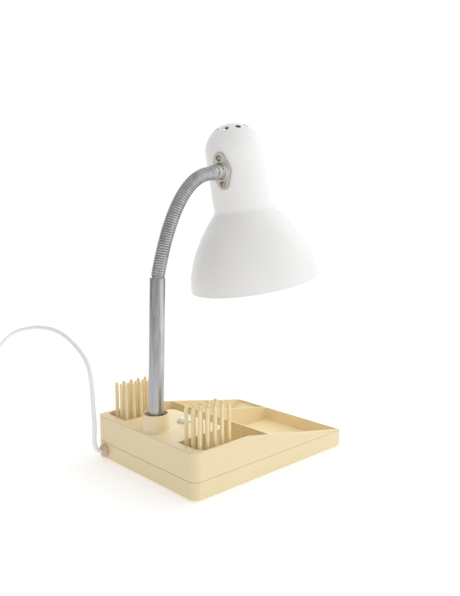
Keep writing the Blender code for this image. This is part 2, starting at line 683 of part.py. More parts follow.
def build_shade(looks):
    outer = shade_profile(0)
    inner = shade_profile(SHADE_WALL)
    profile = outer + inner[::-1]
    shade = turned("shade", profile, head_matrix(), looks["white_paint"], steps=32)
    upright = head_matrix().inverted()
    for i in range(VENT_COUNT):
        azimuth = VENT_START + 2 * math.pi * i / VENT_COUNT
        level = Vector((math.cos(azimuth), math.sin(azimuth), 0))
        flat = upright.to_3x3() @ level
        flat.z = 0
        flat = flat.normalized()
        height = DOME_HEIGHT * math.sqrt(1 - (VENT_RING / DOME_RADIUS) ** 2)
        normal = Vector((flat.x * VENT_RING / DOME_RADIUS ** 2, flat.y * VENT_RING / DOME_RADIUS ** 2,
                         height / DOME_HEIGHT ** 2)).normalized()
        spot = flat * VENT_RING + Vector((0, 0, -DOME_BASE + height))
        start = head_matrix() @ (spot - normal * 4 * MM)
        end = head_matrix() @ (spot + normal * 4 * MM)
        cut(shade, rod(f"vent_{i}", start, end, VENT_RADIUS, cutter=True, sides=12))
    place_side_holes(shade, "shade", 28 * MM, 36 * MM, 1.9 * MM, 4.2 * MM)
    return shade


def side_point(along, out, across=0.0):
    """A point beside the shade: down the axis, out towards the hose, and across."""
    return head_matrix() @ Vector((across, out, -along))


def place_side_holes(obj, name, start, end, screw_radius, wire_radius):
    """Two screw holes and a wire hole through a wall beside the side fitting."""
    for i, along in enumerate((-FLANGE_SCREW_OFFSET, FLANGE_SCREW_OFFSET)):
        cut(obj, rod(f"{name}_screw_hole_{i}", side_point(along, start), side_point(along, end), screw_radius,
                     cutter=True, sides=12))
    if wire_radius:
        cut(obj, rod(f"{name}_wire_hole", side_point(0, start), side_point(0, end), wire_radius,
                     cutter=True, sides=16))


def build_side_fitting(looks):
    """The oval flange and barrel outside the neck, its screws, and the bracket inside."""
    face = frame_along(side_point(0, 0), SIDE, head_matrix().to_3x3() @ Vector((1, 0, 0)))
    oval = arc((0, 9.5 * MM), 11 * MM, 0, 180, 10) + arc((0, -9.5 * MM), 11 * MM, 180, 360, 10)
    fitting = slab("hose_flange", oval, 30.6 * MM, FLANGE_FACE, looks["zinc"], matrix=face)
    cut(fitting, rod("neck_clearance", side_point(-60 * MM, 0), side_point(60 * MM, 0), NECK_RADIUS + GAP + 0.2 * MM,
                     cutter=True, sides=48))
    join(fitting, rod("barrel", side_point(0, FLANGE_FACE - 2 * MM), side_point(0, BARREL_END - GAP),
                      8.25 * MM, cutter=True, sides=20))
    cut(fitting, rod("barrel_socket", side_point(0, BARREL_END - 9 * MM), side_point(0, BARREL_END + 5 * MM),
                     6.4 * MM, cutter=True, sides=24))
    place_side_holes(fitting, "flange", 20 * MM, 60 * MM, 1.9 * MM, 0)
    cut(fitting, rod("flange_wire_hole", side_point(0, 20 * MM), side_point(0, 45 * MM), 3.5 * MM,
                     cutter=True, sides=16))
    set_spot = side_point(0, BARREL_END - 5 * MM)
    across = head_matrix().to_3x3() @ Vector((-0.94, 0, 0.34))
    cut(fitting, rod("set_screw_hole", set_spot + across * 5 * MM, set_spot + across * 12 * MM, 1.7 * MM,
                     cutter=True, sides=12))
    rod("set_screw", set_spot + across * 6.3 * MM, set_spot + across * 7.7 * MM, 1.35 * MM, looks["zinc"], sides=12)
    screw = [(0, 1.9), (1.6, 1.6), (2.9, 0.9), (3.4, 0.3), (1.5, 0.3), (1.5, -8.2), (0, -8.2)]
    for i, along in enumerate((-FLANGE_SCREW_OFFSET, FLANGE_SCREW_OFFSET)):
        turned(f"flange_screw_{i + 1}", [(radius * MM, height * MM) for radius, height in screw],
               frame_along(side_point(along, FLANGE_FACE), SIDE), looks["bronze_screw"], steps=16)
    inside = head_matrix()
    bracket = box("holder_bracket", (-7 * MM, 28.1 * MM, -20 * MM), (7 * MM, 29.5 * MM, 21.5 * MM), looks["zinc"],
                  matrix=inside)
    join(bracket, box("bracket_arm", (-7 * MM, -9 * MM, 20 * MM), (7 * MM, 28.6 * MM, 21.5 * MM), cutter=True,
                      matrix=inside))
    place_side_holes(bracket, "bracket", 25 * MM, 33 * MM, 1.8 * MM, 4.2 * MM)
    cut(bracket, rod("nipple_hole", inside @ Vector((0, 0, 15 * MM)), inside @ Vector((0, 0, 30 * MM)),
                     5.3 * MM, cutter=True, sides=20))


def build_lampholder(looks):
    """The lampholder hangs from the bracket by a hollow nipple and a nut."""
    inside = head_matrix()
    nipple = [(5, 26.5), (5, 13.2), (3.4, 13.2), (3.4, 26.5)]
    nut = [(8.6, 24.9), (8.6, 21.8), (6.2, 21.8), (6.2, 24.9)]
    body = [(5.3, 19.7), (13, 19.7), (18, 16.5), (19, 12), (19, -17), (16.2, -17), (16.2, 12.5), (5.3, 12.5)]
    screw_shell = [(15.8, 8), (15.8, -16.4), (14.6, -16.4), (14.6, 8)]
    contact = [(0, 10.5), (3, 10.5), (3, 7), (0, 7)]
    pieces = [
        ("holder_nipple", nipple, "zinc", 16, True),
        ("nipple_nut", nut, "zinc", 6, True),
        ("lampholder_body", body, "porcelain", 20, True),
        ("lampholder_thread", screw_shell, "brass", 20, True),
        ("lampholder_contact", contact, "brass", 12, False),
    ]
    for name, profile, look, steps, closed in pieces:
        points = [(radius * MM, height * MM) for radius, height in profile]
        turned(name, points, inside, looks[look], steps=steps, closed=closed)


def bulb_outline(inset):
    """The round bulb from its neck to its crown, as (radius, height) points going down."""
    crown_radius = 30 * MM
    centre = -69 * MM
    points = [(12.6 * MM - inset, -18 * MM), (13.8 * MM - inset, -29 * MM), (19.5 * MM - inset, -43 * MM)]
    for degrees in (38, 20, 0, -25, -50, -72):
        angle = math.radians(degrees)
        points.append(((crown_radius - inset) * math.cos(angle), centre + (crown_radius - inset) * math.sin(angle)))
    points.append((0, centre - crown_radius + inset))
    return points


def build_bulb(looks):
    inside = head_matrix()
    glass = bulb_outline(0) + bulb_outline(0.9 * MM)[::-1]
    turned("bulb_glass", glass, inside, looks["bulb_glass"], steps=18, closed=True)
    cap = [(0, 6.6), (4, 6.4), (4.4, 4.6), (13.2, 1.6), (14.2, -1), (14.2, -19), (12.9, -19), (12.9, -1.2), (0, 0.5)]
    turned("bulb_cap", [(radius * MM, height * MM) for radius, height in cap], inside, looks["zinc"], steps=18)


# ---------------------------------------------------------------- cord

CORD_GUIDES = [
    (69.0, 118.0, 10.3), (68.7, 121.4, 11.9), (67.6, 124.6, 16.0), (66.4, 126.9, 22.5), (65.2, 127.8, 31.0),
    (63.6, 127.8, 43.0), (65.6, 127.7, 63.0), (67.6, 127.5, 86.2), (73.7, 127.5, 107.7), (90.3, 127.5, 121.6),
    (120.7, 127.5, 133.5), (150.0, 127.5, 137.4), (180.0, 127.5, 136.0), (203.9, 127.5, 132.5),
    (250.0, 128.0, 121.0), (285.0, 129.5, 103.0), (315.0, 132.0, 78.0), (338.0, 134.0, 50.0), (352.0, 134.5, 28.5),
    (361.0, 132.5, 15.0), (371.0, 128.5, 6.0), (381.0, 123.3, 2.9), (390.5, 118.6, 2.6), (399.8, 116.1, 2.6),
]
TAIL_GUIDES = [(399.9, 188.0, 7.9), (392.0, 188.1, 7.4), (384.0, 188.1, 7.0), (375.0, 188.1, 7.0), (366.3, 188.1, 7.1)]


def build_cord(looks):
    route = smooth_route([Vector(point) * MM for point in CORD_GUIDES], 10 * MM)
    face = GLAND + Vector((0, GLAND_REACH + GAP, 0))
    wire("mains_cord", [face] + route, CORD_RADIUS, looks["cord_plastic"])
    tail = smooth_route([Vector(point) * MM for point in TAIL_GUIDES], 10 * MM)
    wire("cord_tail", tail, CORD_RADIUS, looks["cord_plastic"])
    inner = COIL_RADIUS - COIL_HALF_WIDTH
    outer = COIL_RADIUS + COIL_HALF_WIDTH
    ring = [(inner + 2 * MM, COIL_HEIGHT), (outer - 2 * MM, COIL_HEIGHT), (outer, COIL_HEIGHT - 3 * MM),
            (outer, 2 * MM), (outer - 2 * MM, 0), (inner + 2 * MM, 0), (inner, 2 * MM), (inner, COIL_HEIGHT - 3 * MM)]
    turned("cord_coil", ring, Matrix.Translation(COIL_CENTRE), looks["cord_plastic"], steps=22, closed=True)


def build_plug(looks):
    """A plain two-pin plug lying flat, its pins pointing away from the cord."""
    start = Vector((365.8, 188.1, 7.1)) * MM
    outline = [(-4, 0), (4, 0), (6.5, 10), (12.5, 22), (13, 35), (-13, 35), (-12.5, 22), (-6.5, 10)]
    flat = frame_along(start, (0, 0, 1), (0, -1, 0))
    points = [(x * MM, -y * MM) for x, y in outline]
    body = slab("mains_plug", points, -6.8 * MM, 6.8 * MM, looks["white_plastic"], matrix=flat)
    for i, x in enumerate((-9.5 * MM, 9.5 * MM)):
        join(body, rod(f"plug_pin_{i}", flat @ Vector((x, -33 * MM, 0)), flat @ Vector((x, -54 * MM, 0)), 2 * MM,
                       cutter=True, sides=12))
    return body


# ---------------------------------------------------------------- assembly

def ride_on(names, empty_name, point):
    """Hang pieces on an empty at their joint without moving them."""
    pivot = bpy.data.objects.new(empty_name, None)
    PARTS.objects.link(pivot)
    pivot.location = point
    bpy.context.view_layer.update()
    for name in names:
        piece = bpy.data.objects[name]
        world = piece.matrix_world.copy()
        piece.parent = pivot
        piece.matrix_parent_inverse = Matrix.Translation(point).inverted()
        piece.matrix_world = world


HEAD_PIECES = [
    "gooseneck_tip", "hose_flange", "set_screw", "flange_screw_1", "flange_screw_2", "shade",
    "holder_bracket", "holder_nipple", "nipple_nut", "lampholder_body", "lampholder_thread",
    "lampholder_contact", "bulb_cap", "bulb_glass",
]


def build():
    global PARTS, CUTTERS
    clear_scene()
    PARTS = new_collection("gooseneck_desk_lamp")
    CUTTERS = new_collection("cutters")
    looks = make_materials()
    build_pan(looks)
    build_cover(looks)
    build_pin_holder("pin_holder_near", NEAR_PIN_COLUMNS, -INNER_X + 0.6 * MM, DECK_X[0] - 0.6 * MM, looks)
    build_pin_holder("pin_holder_far", FAR_PIN_COLUMNS, DECK_X[1] + 0.6 * MM, WELL_FAR_X - 0.6 * MM, looks)
    build_feet_and_screws(looks)
    build_stem_cup(looks)
    build_stem(looks)
    build_switch(looks)
    build_base_inside(looks)
    build_gland(looks)
    build_gooseneck(looks)
    build_shade(looks)
    build_side_fitting(looks)
    build_lampholder(looks)
    build_bulb(looks)
    build_cord(looks)
    build_plug(looks)
    ride_on(HEAD_PIECES, "head_pivot", hose_at(joint_length(JOINT_COUNT - 1)))


build()
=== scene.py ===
"""The visual model of a gooseneck desk lamp that stands on a desk-organiser base."""

import json
import math

import bmesh
import bpy
from mathutils import Matrix, Vector

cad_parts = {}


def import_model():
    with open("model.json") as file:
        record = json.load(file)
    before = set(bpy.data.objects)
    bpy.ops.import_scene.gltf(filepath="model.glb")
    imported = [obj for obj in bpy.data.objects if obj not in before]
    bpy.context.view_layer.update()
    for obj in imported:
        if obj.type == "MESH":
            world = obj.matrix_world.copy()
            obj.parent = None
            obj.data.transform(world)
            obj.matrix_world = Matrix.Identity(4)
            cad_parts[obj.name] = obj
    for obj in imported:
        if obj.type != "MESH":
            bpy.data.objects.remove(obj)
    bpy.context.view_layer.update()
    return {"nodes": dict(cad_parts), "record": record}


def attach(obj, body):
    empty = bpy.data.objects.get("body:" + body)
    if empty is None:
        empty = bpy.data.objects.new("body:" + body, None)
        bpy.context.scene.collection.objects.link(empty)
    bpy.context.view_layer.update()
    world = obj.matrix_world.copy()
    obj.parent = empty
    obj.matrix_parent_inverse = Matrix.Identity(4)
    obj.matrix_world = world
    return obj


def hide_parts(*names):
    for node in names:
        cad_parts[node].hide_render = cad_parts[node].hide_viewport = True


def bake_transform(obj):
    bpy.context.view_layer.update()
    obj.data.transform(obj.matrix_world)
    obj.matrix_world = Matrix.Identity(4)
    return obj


MM = 0.001
GAP = 0.3 * MM

# Base
BASE_LENGTH = 224 * MM
BASE_WIDTH = 170 * MM
REAR_CORNER = 9 * MM
FRONT_CORNER = 3 * MM
PAN_BOTTOM = 1.2 * MM
PAN_FLOOR = 3.2 * MM
PARTING_Z = 19.5 * MM
DECK_Z = 48.3 * MM
DECK_UNDERSIDE = 45.8 * MM
FRONT_RIM_Z = 20.0 * MM
SLOPE_START_Y = 39 * MM
PAN_WALL = 1.5 * MM
COVER_INSET = PAN_WALL + GAP
INNER_X = 82.2 * MM
INNER_FRONT_Y = -109.2 * MM

# Compartments
CROSS_WALL = (6 * MM, 8 * MM)
DIVIDER = (33 * MM, 35 * MM)
TRAY_FLOOR = 5.5 * MM
WELL_FLOOR = 14 * MM
WELL_UNDERSIDE = 12.4 * MM
WELL_REAR_Y = 102 * MM
WELL_FAR_X = 80 * MM
DECK_X = (-47.5 * MM, 42.5 * MM)
DECK_FRONT_Y = 37 * MM
RAMP_ANGLE = math.radians(27.6)
RAMP_FOOT_Y = -86.5 * MM

# Pins
PIN_RADIUS = 1.95 * MM
PIN_TOP = 85.5 * MM
PIN_ROWS = [58.2 * MM + i * 9.6 * MM for i in range(5)]
NEAR_PIN_COLUMNS = [-74.7 * MM + i * 10.1 * MM for i in range(3)]
FAR_PIN_COLUMNS = [48.4 * MM + i * 9 * MM for i in range(3)]

# Stem, leaning a little to the front
STEM_FOOT = Vector((-3.2 * MM, 95.47 * MM, DECK_Z))
STEM_LEAN = math.radians(1.85)
CUP_OFFSET = 0.5 * MM

# Button and its switch
BUTTON_X = -3.5 * MM
BUTTON_Y = 58 * MM

# Gooseneck
HOSE_RADIUS = 7.2 * MM
HOSE_GUIDES = (
    Vector((-3.2, 90.4, 206.5)) * MM,
    Vector((-13.3, 72.7, 315.8)) * MM,
    Vector((-21.7, 39.8, 310.8)) * MM,
    Vector((-17.1, 24.7, 313.4)) * MM,
)
JOINT_SPACING = 17.5 * MM
FIRST_JOINT = 16 * MM
JOINT_COUNT = 7

# Shade, turned about an axis that runs down through its opening
SHADE_POINT = Vector((-3.2, -20.6, 321.2)) * MM
SHADE_AXIS = Vector((-0.0416, -0.1826, -0.9823)).normalized()
DOME_RADIUS = 32 * MM
DOME_HEIGHT = 30.5 * MM
DOME_BASE = -18 * MM
NECK_RADIUS = 32.5 * MM
BELL_START = 49 * MM
BELL_END = 129.6 * MM
BELL_FULL_RADIUS = 73.5 * MM
BELL_REACH = 131.0
BELL_GAIN = 0.01033
BELL_POWER = 1.865
VENT_RADIUS = 3.3 * MM
VENT_RING = 17.5 * MM
VENT_COUNT = 8
VENT_START = math.radians(75)

# Side fitting that joins the hose to the shade
SIDE = Vector((-0.288, 0.943, -0.163))
SIDE = (SIDE - SIDE.dot(SHADE_AXIS) * SHADE_AXIS).normalized()
FLANGE_FACE = 36 * MM
BARREL_END = 48 * MM
FLANGE_SCREW_OFFSET = 13.8 * MM

# Cord
CORD_RADIUS = 2.5 * MM
GLAND = Vector((69 * MM, 112 * MM, 10.3 * MM))
GLAND_REACH = 4.4 * MM
COIL_CENTRE = Vector((420 * MM, 152 * MM, 0))

CUTTERS = []


def place(obj, matrix):
    obj.matrix_world = matrix
    return obj


def make_object(name, mesh, material=None, cutter=False):
    obj = bpy.data.objects.new(name, mesh)
    if material is not None:
        mesh.materials.clear()
        mesh.materials.append(material)
    bpy.context.scene.collection.objects.link(obj)
    if cutter:
        CUTTERS.append(obj)
    return obj


def frame_along(point, direction, side=None):
    """A frame at a point whose Z runs along a direction, with X as near to side as it can be."""
    z = Vector(direction).normalized()
    guess = Vector(side) if side is not None else Vector((1, 0, 0))
    if abs(guess.dot(z)) > 0.98 * guess.length:
        guess = Vector((0, 1, 0))
    x = (guess - guess.dot(z) * z).normalized()
    y = z.cross(x)
    matrix = Matrix((x, y, z)).transposed().to_4x4()
    matrix.translation = Vector(point)
    return matrix


def box(name, low, high, material=None, cutter=False, matrix=None):
    """A box from its low corner to its high corner, in the frame of the matrix."""
    low = Vector(low)
    high = Vector(high)
    shape = bmesh.new()
    bmesh.ops.create_cube(shape, size=1)
    bmesh.ops.scale(shape, vec=high - low, verts=shape.verts)
    bmesh.ops.translate(shape, vec=(low + high) / 2, verts=shape.verts)
    mesh = bpy.data.meshes.new(name)
    shape.to_mesh(mesh)
    shape.free()
    obj = make_object(name, mesh, material, cutter)
    return place(obj, matrix or Matrix())


def rod(name, start, end, radius, material=None, cutter=False, sides=24, end_radius=None):
    """A straight round bar, or a cone, between two points."""
    start = Vector(start)
    end = Vector(end)
    shape = bmesh.new()
    bmesh.ops.create_cone(
        shape, cap_ends=True, segments=sides, radius1=radius,
        radius2=radius if end_radius is None else end_radius, depth=(end - start).length)
    mesh = bpy.data.meshes.new(name)
    shape.to_mesh(mesh)
    shape.free()
    mesh.shade_smooth()
    mesh.set_sharp_from_angle(angle=math.radians(40))
    obj = make_object(name, mesh, material, cutter)
    return place(obj, frame_along((start + end) / 2, end - start))


def turned(name, profile, matrix, material=None, cutter=False, steps=24, closed=False):
    """A profile of (radius, height) points, top to bottom down its outer side, turned about Z."""
    mesh = bpy.data.meshes.new(name)
    count = len(profile)
    edges = [(i, i + 1) for i in range(count - 1)]
    if closed:
        edges.append((count - 1, 0))
    mesh.from_pydata([(radius, 0, height) for radius, height in profile], edges, [])
    obj = make_object(name, mesh, material, cutter)
    screw = obj.modifiers.new("turn", "SCREW")
    screw.steps = steps
    screw.render_steps = steps
    screw.use_merge_vertices = True
    screw.merge_threshold = 0.00001
    screw.use_smooth_shade = True
    return place(obj, matrix)


def arc(centre, radius, start, end, steps):
    """Points on an arc in the plane, with its ends, between two angles in degrees."""
    points = []
    for i in range(steps + 1):
        angle = math.radians(start + (end - start) * i / steps)
        points.append((centre[0] + radius * math.cos(angle), centre[1] + radius * math.sin(angle)))
    return points


def rounded_rectangle(x0, x1, y0, y1, front, rear, steps=4):
    """The outline of a rectangle with its own corner radius at the front and at the rear."""
    points = arc((x1 - front, y0 + front), front, -90, 0, steps)
    points += arc((x1 - rear, y1 - rear), rear, 0, 90, steps)
    points += arc((x0 + rear, y1 - rear), rear, 90, 180, steps)
    points += arc((x0 + front, y0 + front), front, 180, 270, steps)
    return points


def flat_mesh(name, outline, low, high):
    """A flat outline given thickness between two heights, as a closed mesh."""
    curve = bpy.data.curves.new(name + "_outline", "CURVE")
    curve.dimensions = "2D"
    curve.fill_mode = "BOTH"
    curve.extrude = (high - low) / 2
    spline = curve.splines.new("POLY")
    spline.points.add(len(outline) - 1)
    for point, (x, y) in zip(spline.points, outline):
        point.co = (x, y, 0, 1)
    spline.use_cyclic_u = True
    guide = bpy.data.objects.new(name + "_outline", curve)
    bpy.context.scene.collection.objects.link(guide)
    bpy.context.view_layer.update()
    depsgraph = bpy.context.evaluated_depsgraph_get()
    mesh = bpy.data.meshes.new_from_object(guide.evaluated_get(depsgraph))
    bpy.data.objects.remove(guide, do_unlink=True)
    shape = bmesh.new()
    shape.from_mesh(mesh)
    bmesh.ops.remove_doubles(shape, verts=shape.verts, dist=0.00001)
    bmesh.ops.dissolve_limit(shape, angle_limit=0.001, verts=shape.verts, edges=shape.edges)
    bmesh.ops.recalc_face_normals(shape, faces=shape.faces)
    bmesh.ops.translate(shape, vec=(0, 0, (low + high) / 2), verts=shape.verts)
    shape.to_mesh(mesh)
    shape.free()
    return mesh


def slab(name, outline, low, high, material=None, cutter=False, matrix=None):
    mesh = flat_mesh(name, outline, low, high)
    return place(make_object(name, mesh, material, cutter), matrix or Matrix())


def combine(obj, other, operation):
    modifier = obj.modifiers.new(other.name, "BOOLEAN")
    modifier.operation = operation
    modifier.object = other
    modifier.solver = "EXACT"


def cut(obj, *cutters):
    for other in cutters:
        combine(obj, other, "DIFFERENCE")


def join(obj, *others):
    for other in others:
        combine(obj, other, "UNION")


def smooth_route(guides, spacing):
    """Evenly spaced points on a smooth curve that passes through the guide points."""
    guides = [Vector(g) for g in guides]
    ends = [guides[0] * 2 - guides[1]] + guides + [guides[-1] * 2 - guides[-2]]
    dense = []
    for a, b, c, d in zip(ends, ends[1:], ends[2:], ends[3:]):
        for i in range(24):
            t = i / 24
            dense.append(0.5 * (2 * b + (c - a) * t + (2 * a - 5 * b + 4 * c - d) * t ** 2
                                + (3 * b - a - 3 * c + d) * t ** 3))
    dense.append(guides[-1])
    travelled = [0.0]
    for a, b in zip(dense, dense[1:]):
        travelled.append(travelled[-1] + (b - a).length)
    count = max(2, round(travelled[-1] / spacing))
    points = []
    segment = 0
    for i in range(count + 1):
        target = travelled[-1] * i / count
        while segment < len(dense) - 2 and travelled[segment + 1] < target:
            segment += 1
        step = travelled[segment + 1] - travelled[segment]
        share = (target - travelled[segment]) / step
        points.append(dense[segment].lerp(dense[segment + 1], share))
    return points


CASE_SCREWS = [(-64 * MM, 20 * MM), (60 * MM, 20 * MM), (-64 * MM, 86 * MM), (60 * MM, 86 * MM)]
FOOT_SPOTS = [(x * MM, y * MM) for x in (-70, 70) for y in (-98, 98)]


def gland_cutter(name):
    reach = Vector((0, 6 * MM, 0))
    return rod(name, GLAND - reach, GLAND + reach, 5.5 * MM, cutter=True)


def slope_matrix():
    """A frame on the sloping rim: Y runs up the slope and Z stands out of it."""
    rise = math.atan2(DECK_Z - FRONT_RIM_Z, SLOPE_START_Y + BASE_LENGTH / 2)
    return Matrix.Translation((0, -BASE_LENGTH / 2, FRONT_RIM_Z)) @ Matrix.Rotation(rise, 4, "X")


def well_cutter():
    wells = slab("well_hollow", rounded_rectangle(-INNER_X, WELL_FAR_X, CROSS_WALL[1], WELL_REAR_Y,
                                                  3 * MM, 8 * MM), WELL_FLOOR, 90 * MM, cutter=True)
    block = slab("deck_block", rounded_rectangle(*DECK_X, DECK_FRONT_Y, 130 * MM, 8 * MM, 1 * MM),
                 0, 100 * MM, cutter=True)
    cut(wells, block)
    return wells


def groove_cutter():
    groove = slab("pencil_groove", rounded_rectangle(DIVIDER[1], INNER_X, INNER_FRONT_Y, CROSS_WALL[0],
                                                     3 * MM, 3 * MM), TRAY_FLOOR, 90 * MM, cutter=True)
    ramp = Matrix.Translation((0, RAMP_FOOT_Y, TRAY_FLOOR)) @ Matrix.Rotation(-RAMP_ANGLE, 4, "X")
    cut(groove, box("groove_ramp", (20 * MM, -60 * MM, -30 * MM), (100 * MM, 0, 0), cutter=True, matrix=ramp))
    return groove


def underside_cutters():
    side = INNER_X - 1 * MM
    rear = BASE_LENGTH / 2 - 2.8 * MM
    under_wells = rounded_rectangle(-side, side, CROSS_WALL[1], rear, 1 * MM, 6 * MM)
    under_deck = rounded_rectangle(DECK_X[0] + 2 * MM, DECK_X[1] - 2 * MM, DECK_FRONT_Y + 2 * MM, rear,
                                   6 * MM, 1 * MM)
    behind_wells = rounded_rectangle(-side, side, WELL_REAR_Y + 2 * MM, rear, 1 * MM, 3 * MM)
    return [
        slab("under_wells", under_wells, -5 * MM, WELL_UNDERSIDE, cutter=True),
        slab("under_deck", under_deck, -4 * MM, DECK_UNDERSIDE, cutter=True),
        slab("behind_wells", behind_wells, -3 * MM, DECK_UNDERSIDE - 0.5 * MM, cutter=True),
    ]


def stem_matrix():
    """The stem's own frame, with Z along it, at the deck."""
    return Matrix.Translation(STEM_FOOT) @ Matrix.Rotation(STEM_LEAN, 4, "X")


def hose_point(t):
    a, b, c, d = HOSE_GUIDES
    return a * (1 - t) ** 3 + b * 3 * t * (1 - t) ** 2 + c * 3 * t ** 2 * (1 - t) + d * t ** 3


def hose_table():
    """Points along the hose with the length up to each."""
    count = 600
    points = [hose_point(i / count) for i in range(count + 1)]
    lengths = [0.0]
    for a, b in zip(points, points[1:]):
        lengths.append(lengths[-1] + (b - a).length)
    return points, lengths


HOSE_POINTS, HOSE_LENGTHS = hose_table()
HOSE_LENGTH = HOSE_LENGTHS[-1]


def hose_at(length):
    """The point on the hose's centre line at a length, carried on into the stem and the barrel."""
    if length <= 0:
        return HOSE_POINTS[0] + stem_matrix().to_3x3() @ Vector((0, 0, length))
    if length >= HOSE_LENGTH:
        return HOSE_POINTS[-1] + (HOSE_POINTS[-1] - HOSE_POINTS[-2]).normalized() * (length - HOSE_LENGTH)
    index = next(i for i, value in enumerate(HOSE_LENGTHS) if value >= length)
    share = (length - HOSE_LENGTHS[index - 1]) / (HOSE_LENGTHS[index] - HOSE_LENGTHS[index - 1])
    return HOSE_POINTS[index - 1].lerp(HOSE_POINTS[index], share)


def head_matrix():
    """The head's frame: Z points up along the shade's axis and Y to the side fitting."""
    z = -SHADE_AXIS
    matrix = Matrix((SIDE.cross(z), SIDE, z)).transposed().to_4x4()
    matrix.translation = SHADE_POINT
    return matrix


def bell_radius(along):
    reach = BELL_REACH - along / MM
    return BELL_FULL_RADIUS - BELL_GAIN * reach ** BELL_POWER * MM


def side_point(along, out, across=0.0):
    """A point beside the shade: down the axis, out towards the hose, and across."""
    return head_matrix() @ Vector((across, out, -along))


CORD_GUIDES = [
    (69.0, 118.0, 10.3), (68.7, 121.4, 11.9), (67.6, 124.6, 16.0), (66.4, 126.9, 22.5), (65.2, 127.8, 31.0),
    (63.6, 127.8, 43.0), (65.6, 127.7, 63.0), (67.6, 127.5, 86.2), (73.7, 127.5, 107.7), (90.3, 127.5, 121.6),
    (120.7, 127.5, 133.5), (150.0, 127.5, 137.4), (180.0, 127.5, 136.0), (203.9, 127.5, 132.5),
    (250.0, 128.0, 121.0), (285.0, 129.5, 103.0), (315.0, 132.0, 78.0), (338.0, 134.0, 50.0),
    (352.0, 134.5, 28.5),
    (361.0, 132.5, 15.0), (371.0, 128.5, 6.0), (381.0, 123.3, 2.9), (390.5, 118.6, 2.6), (399.8, 116.1, 2.6),
]
TAIL_GUIDES = [(408.0, 188.0, 7.9), (396.0, 188.0, 7.6), (384.0, 188.1, 7.1), (376.0, 188.1, 7.1),
               (366.6, 188.1, 7.1)]


# ---------------------------------------------------------------- materials

def surface(name, light, dark, roughness, metallic=0.0, spots=25.0, grain=900.0, bump=0.08, stretch=(1, 1, 1),
            shine=0.08, specular=0.5, contrast=0.25):
    """A finish whose colour drifts between two tones, with a fine grain and an uneven shine."""
    material = bpy.data.materials.new(name)
    material.use_nodes = True
    nodes = material.node_tree.nodes
    links = material.node_tree.links
    shader = nodes["Principled BSDF"]
    shader.inputs["Metallic"].default_value = metallic
    shader.inputs["Specular IOR Level"].default_value = specular
    place_node = nodes.new("ShaderNodeTexCoord")
    scaled = nodes.new("ShaderNodeMapping")
    scaled.inputs["Scale"].default_value = stretch
    links.new(place_node.outputs["Object"], scaled.inputs["Vector"])
    drift = nodes.new("ShaderNodeTexNoise")
    drift.inputs["Scale"].default_value = spots
    drift.inputs["Detail"].default_value = 6
    drift.inputs["Roughness"].default_value = 0.62
    links.new(scaled.outputs["Vector"], drift.inputs["Vector"])
    ramp = nodes.new("ShaderNodeValToRGB")
    ramp.color_ramp.elements[0].position = 0.5 - contrast
    ramp.color_ramp.elements[0].color = (*dark, 1)
    ramp.color_ramp.elements[1].position = 0.5 + contrast
    ramp.color_ramp.elements[1].color = (*light, 1)
    links.new(drift.outputs["Fac"], ramp.inputs["Fac"])
    links.new(ramp.outputs["Color"], shader.inputs["Base Color"])
    fine = nodes.new("ShaderNodeTexNoise")
    fine.inputs["Scale"].default_value = grain
    fine.inputs["Detail"].default_value = 3
    links.new(scaled.outputs["Vector"], fine.inputs["Vector"])
    rough = nodes.new("ShaderNodeMapRange")
    rough.inputs["From Min"].default_value = 0.3
    rough.inputs["From Max"].default_value = 0.7
    rough.inputs["To Min"].default_value = max(0.04, roughness - shine)
    rough.inputs["To Max"].default_value = roughness + shine
    links.new(drift.outputs["Fac"], rough.inputs["Value"])
    links.new(rough.outputs["Result"], shader.inputs["Roughness"])
    relief = nodes.new("ShaderNodeBump")
    relief.inputs["Strength"].default_value = bump
    relief.inputs["Distance"].default_value = 0.1 * MM
    links.new(fine.outputs["Fac"], relief.inputs["Height"])
    links.new(relief.outputs["Normal"], shader.inputs["Normal"])
    return material


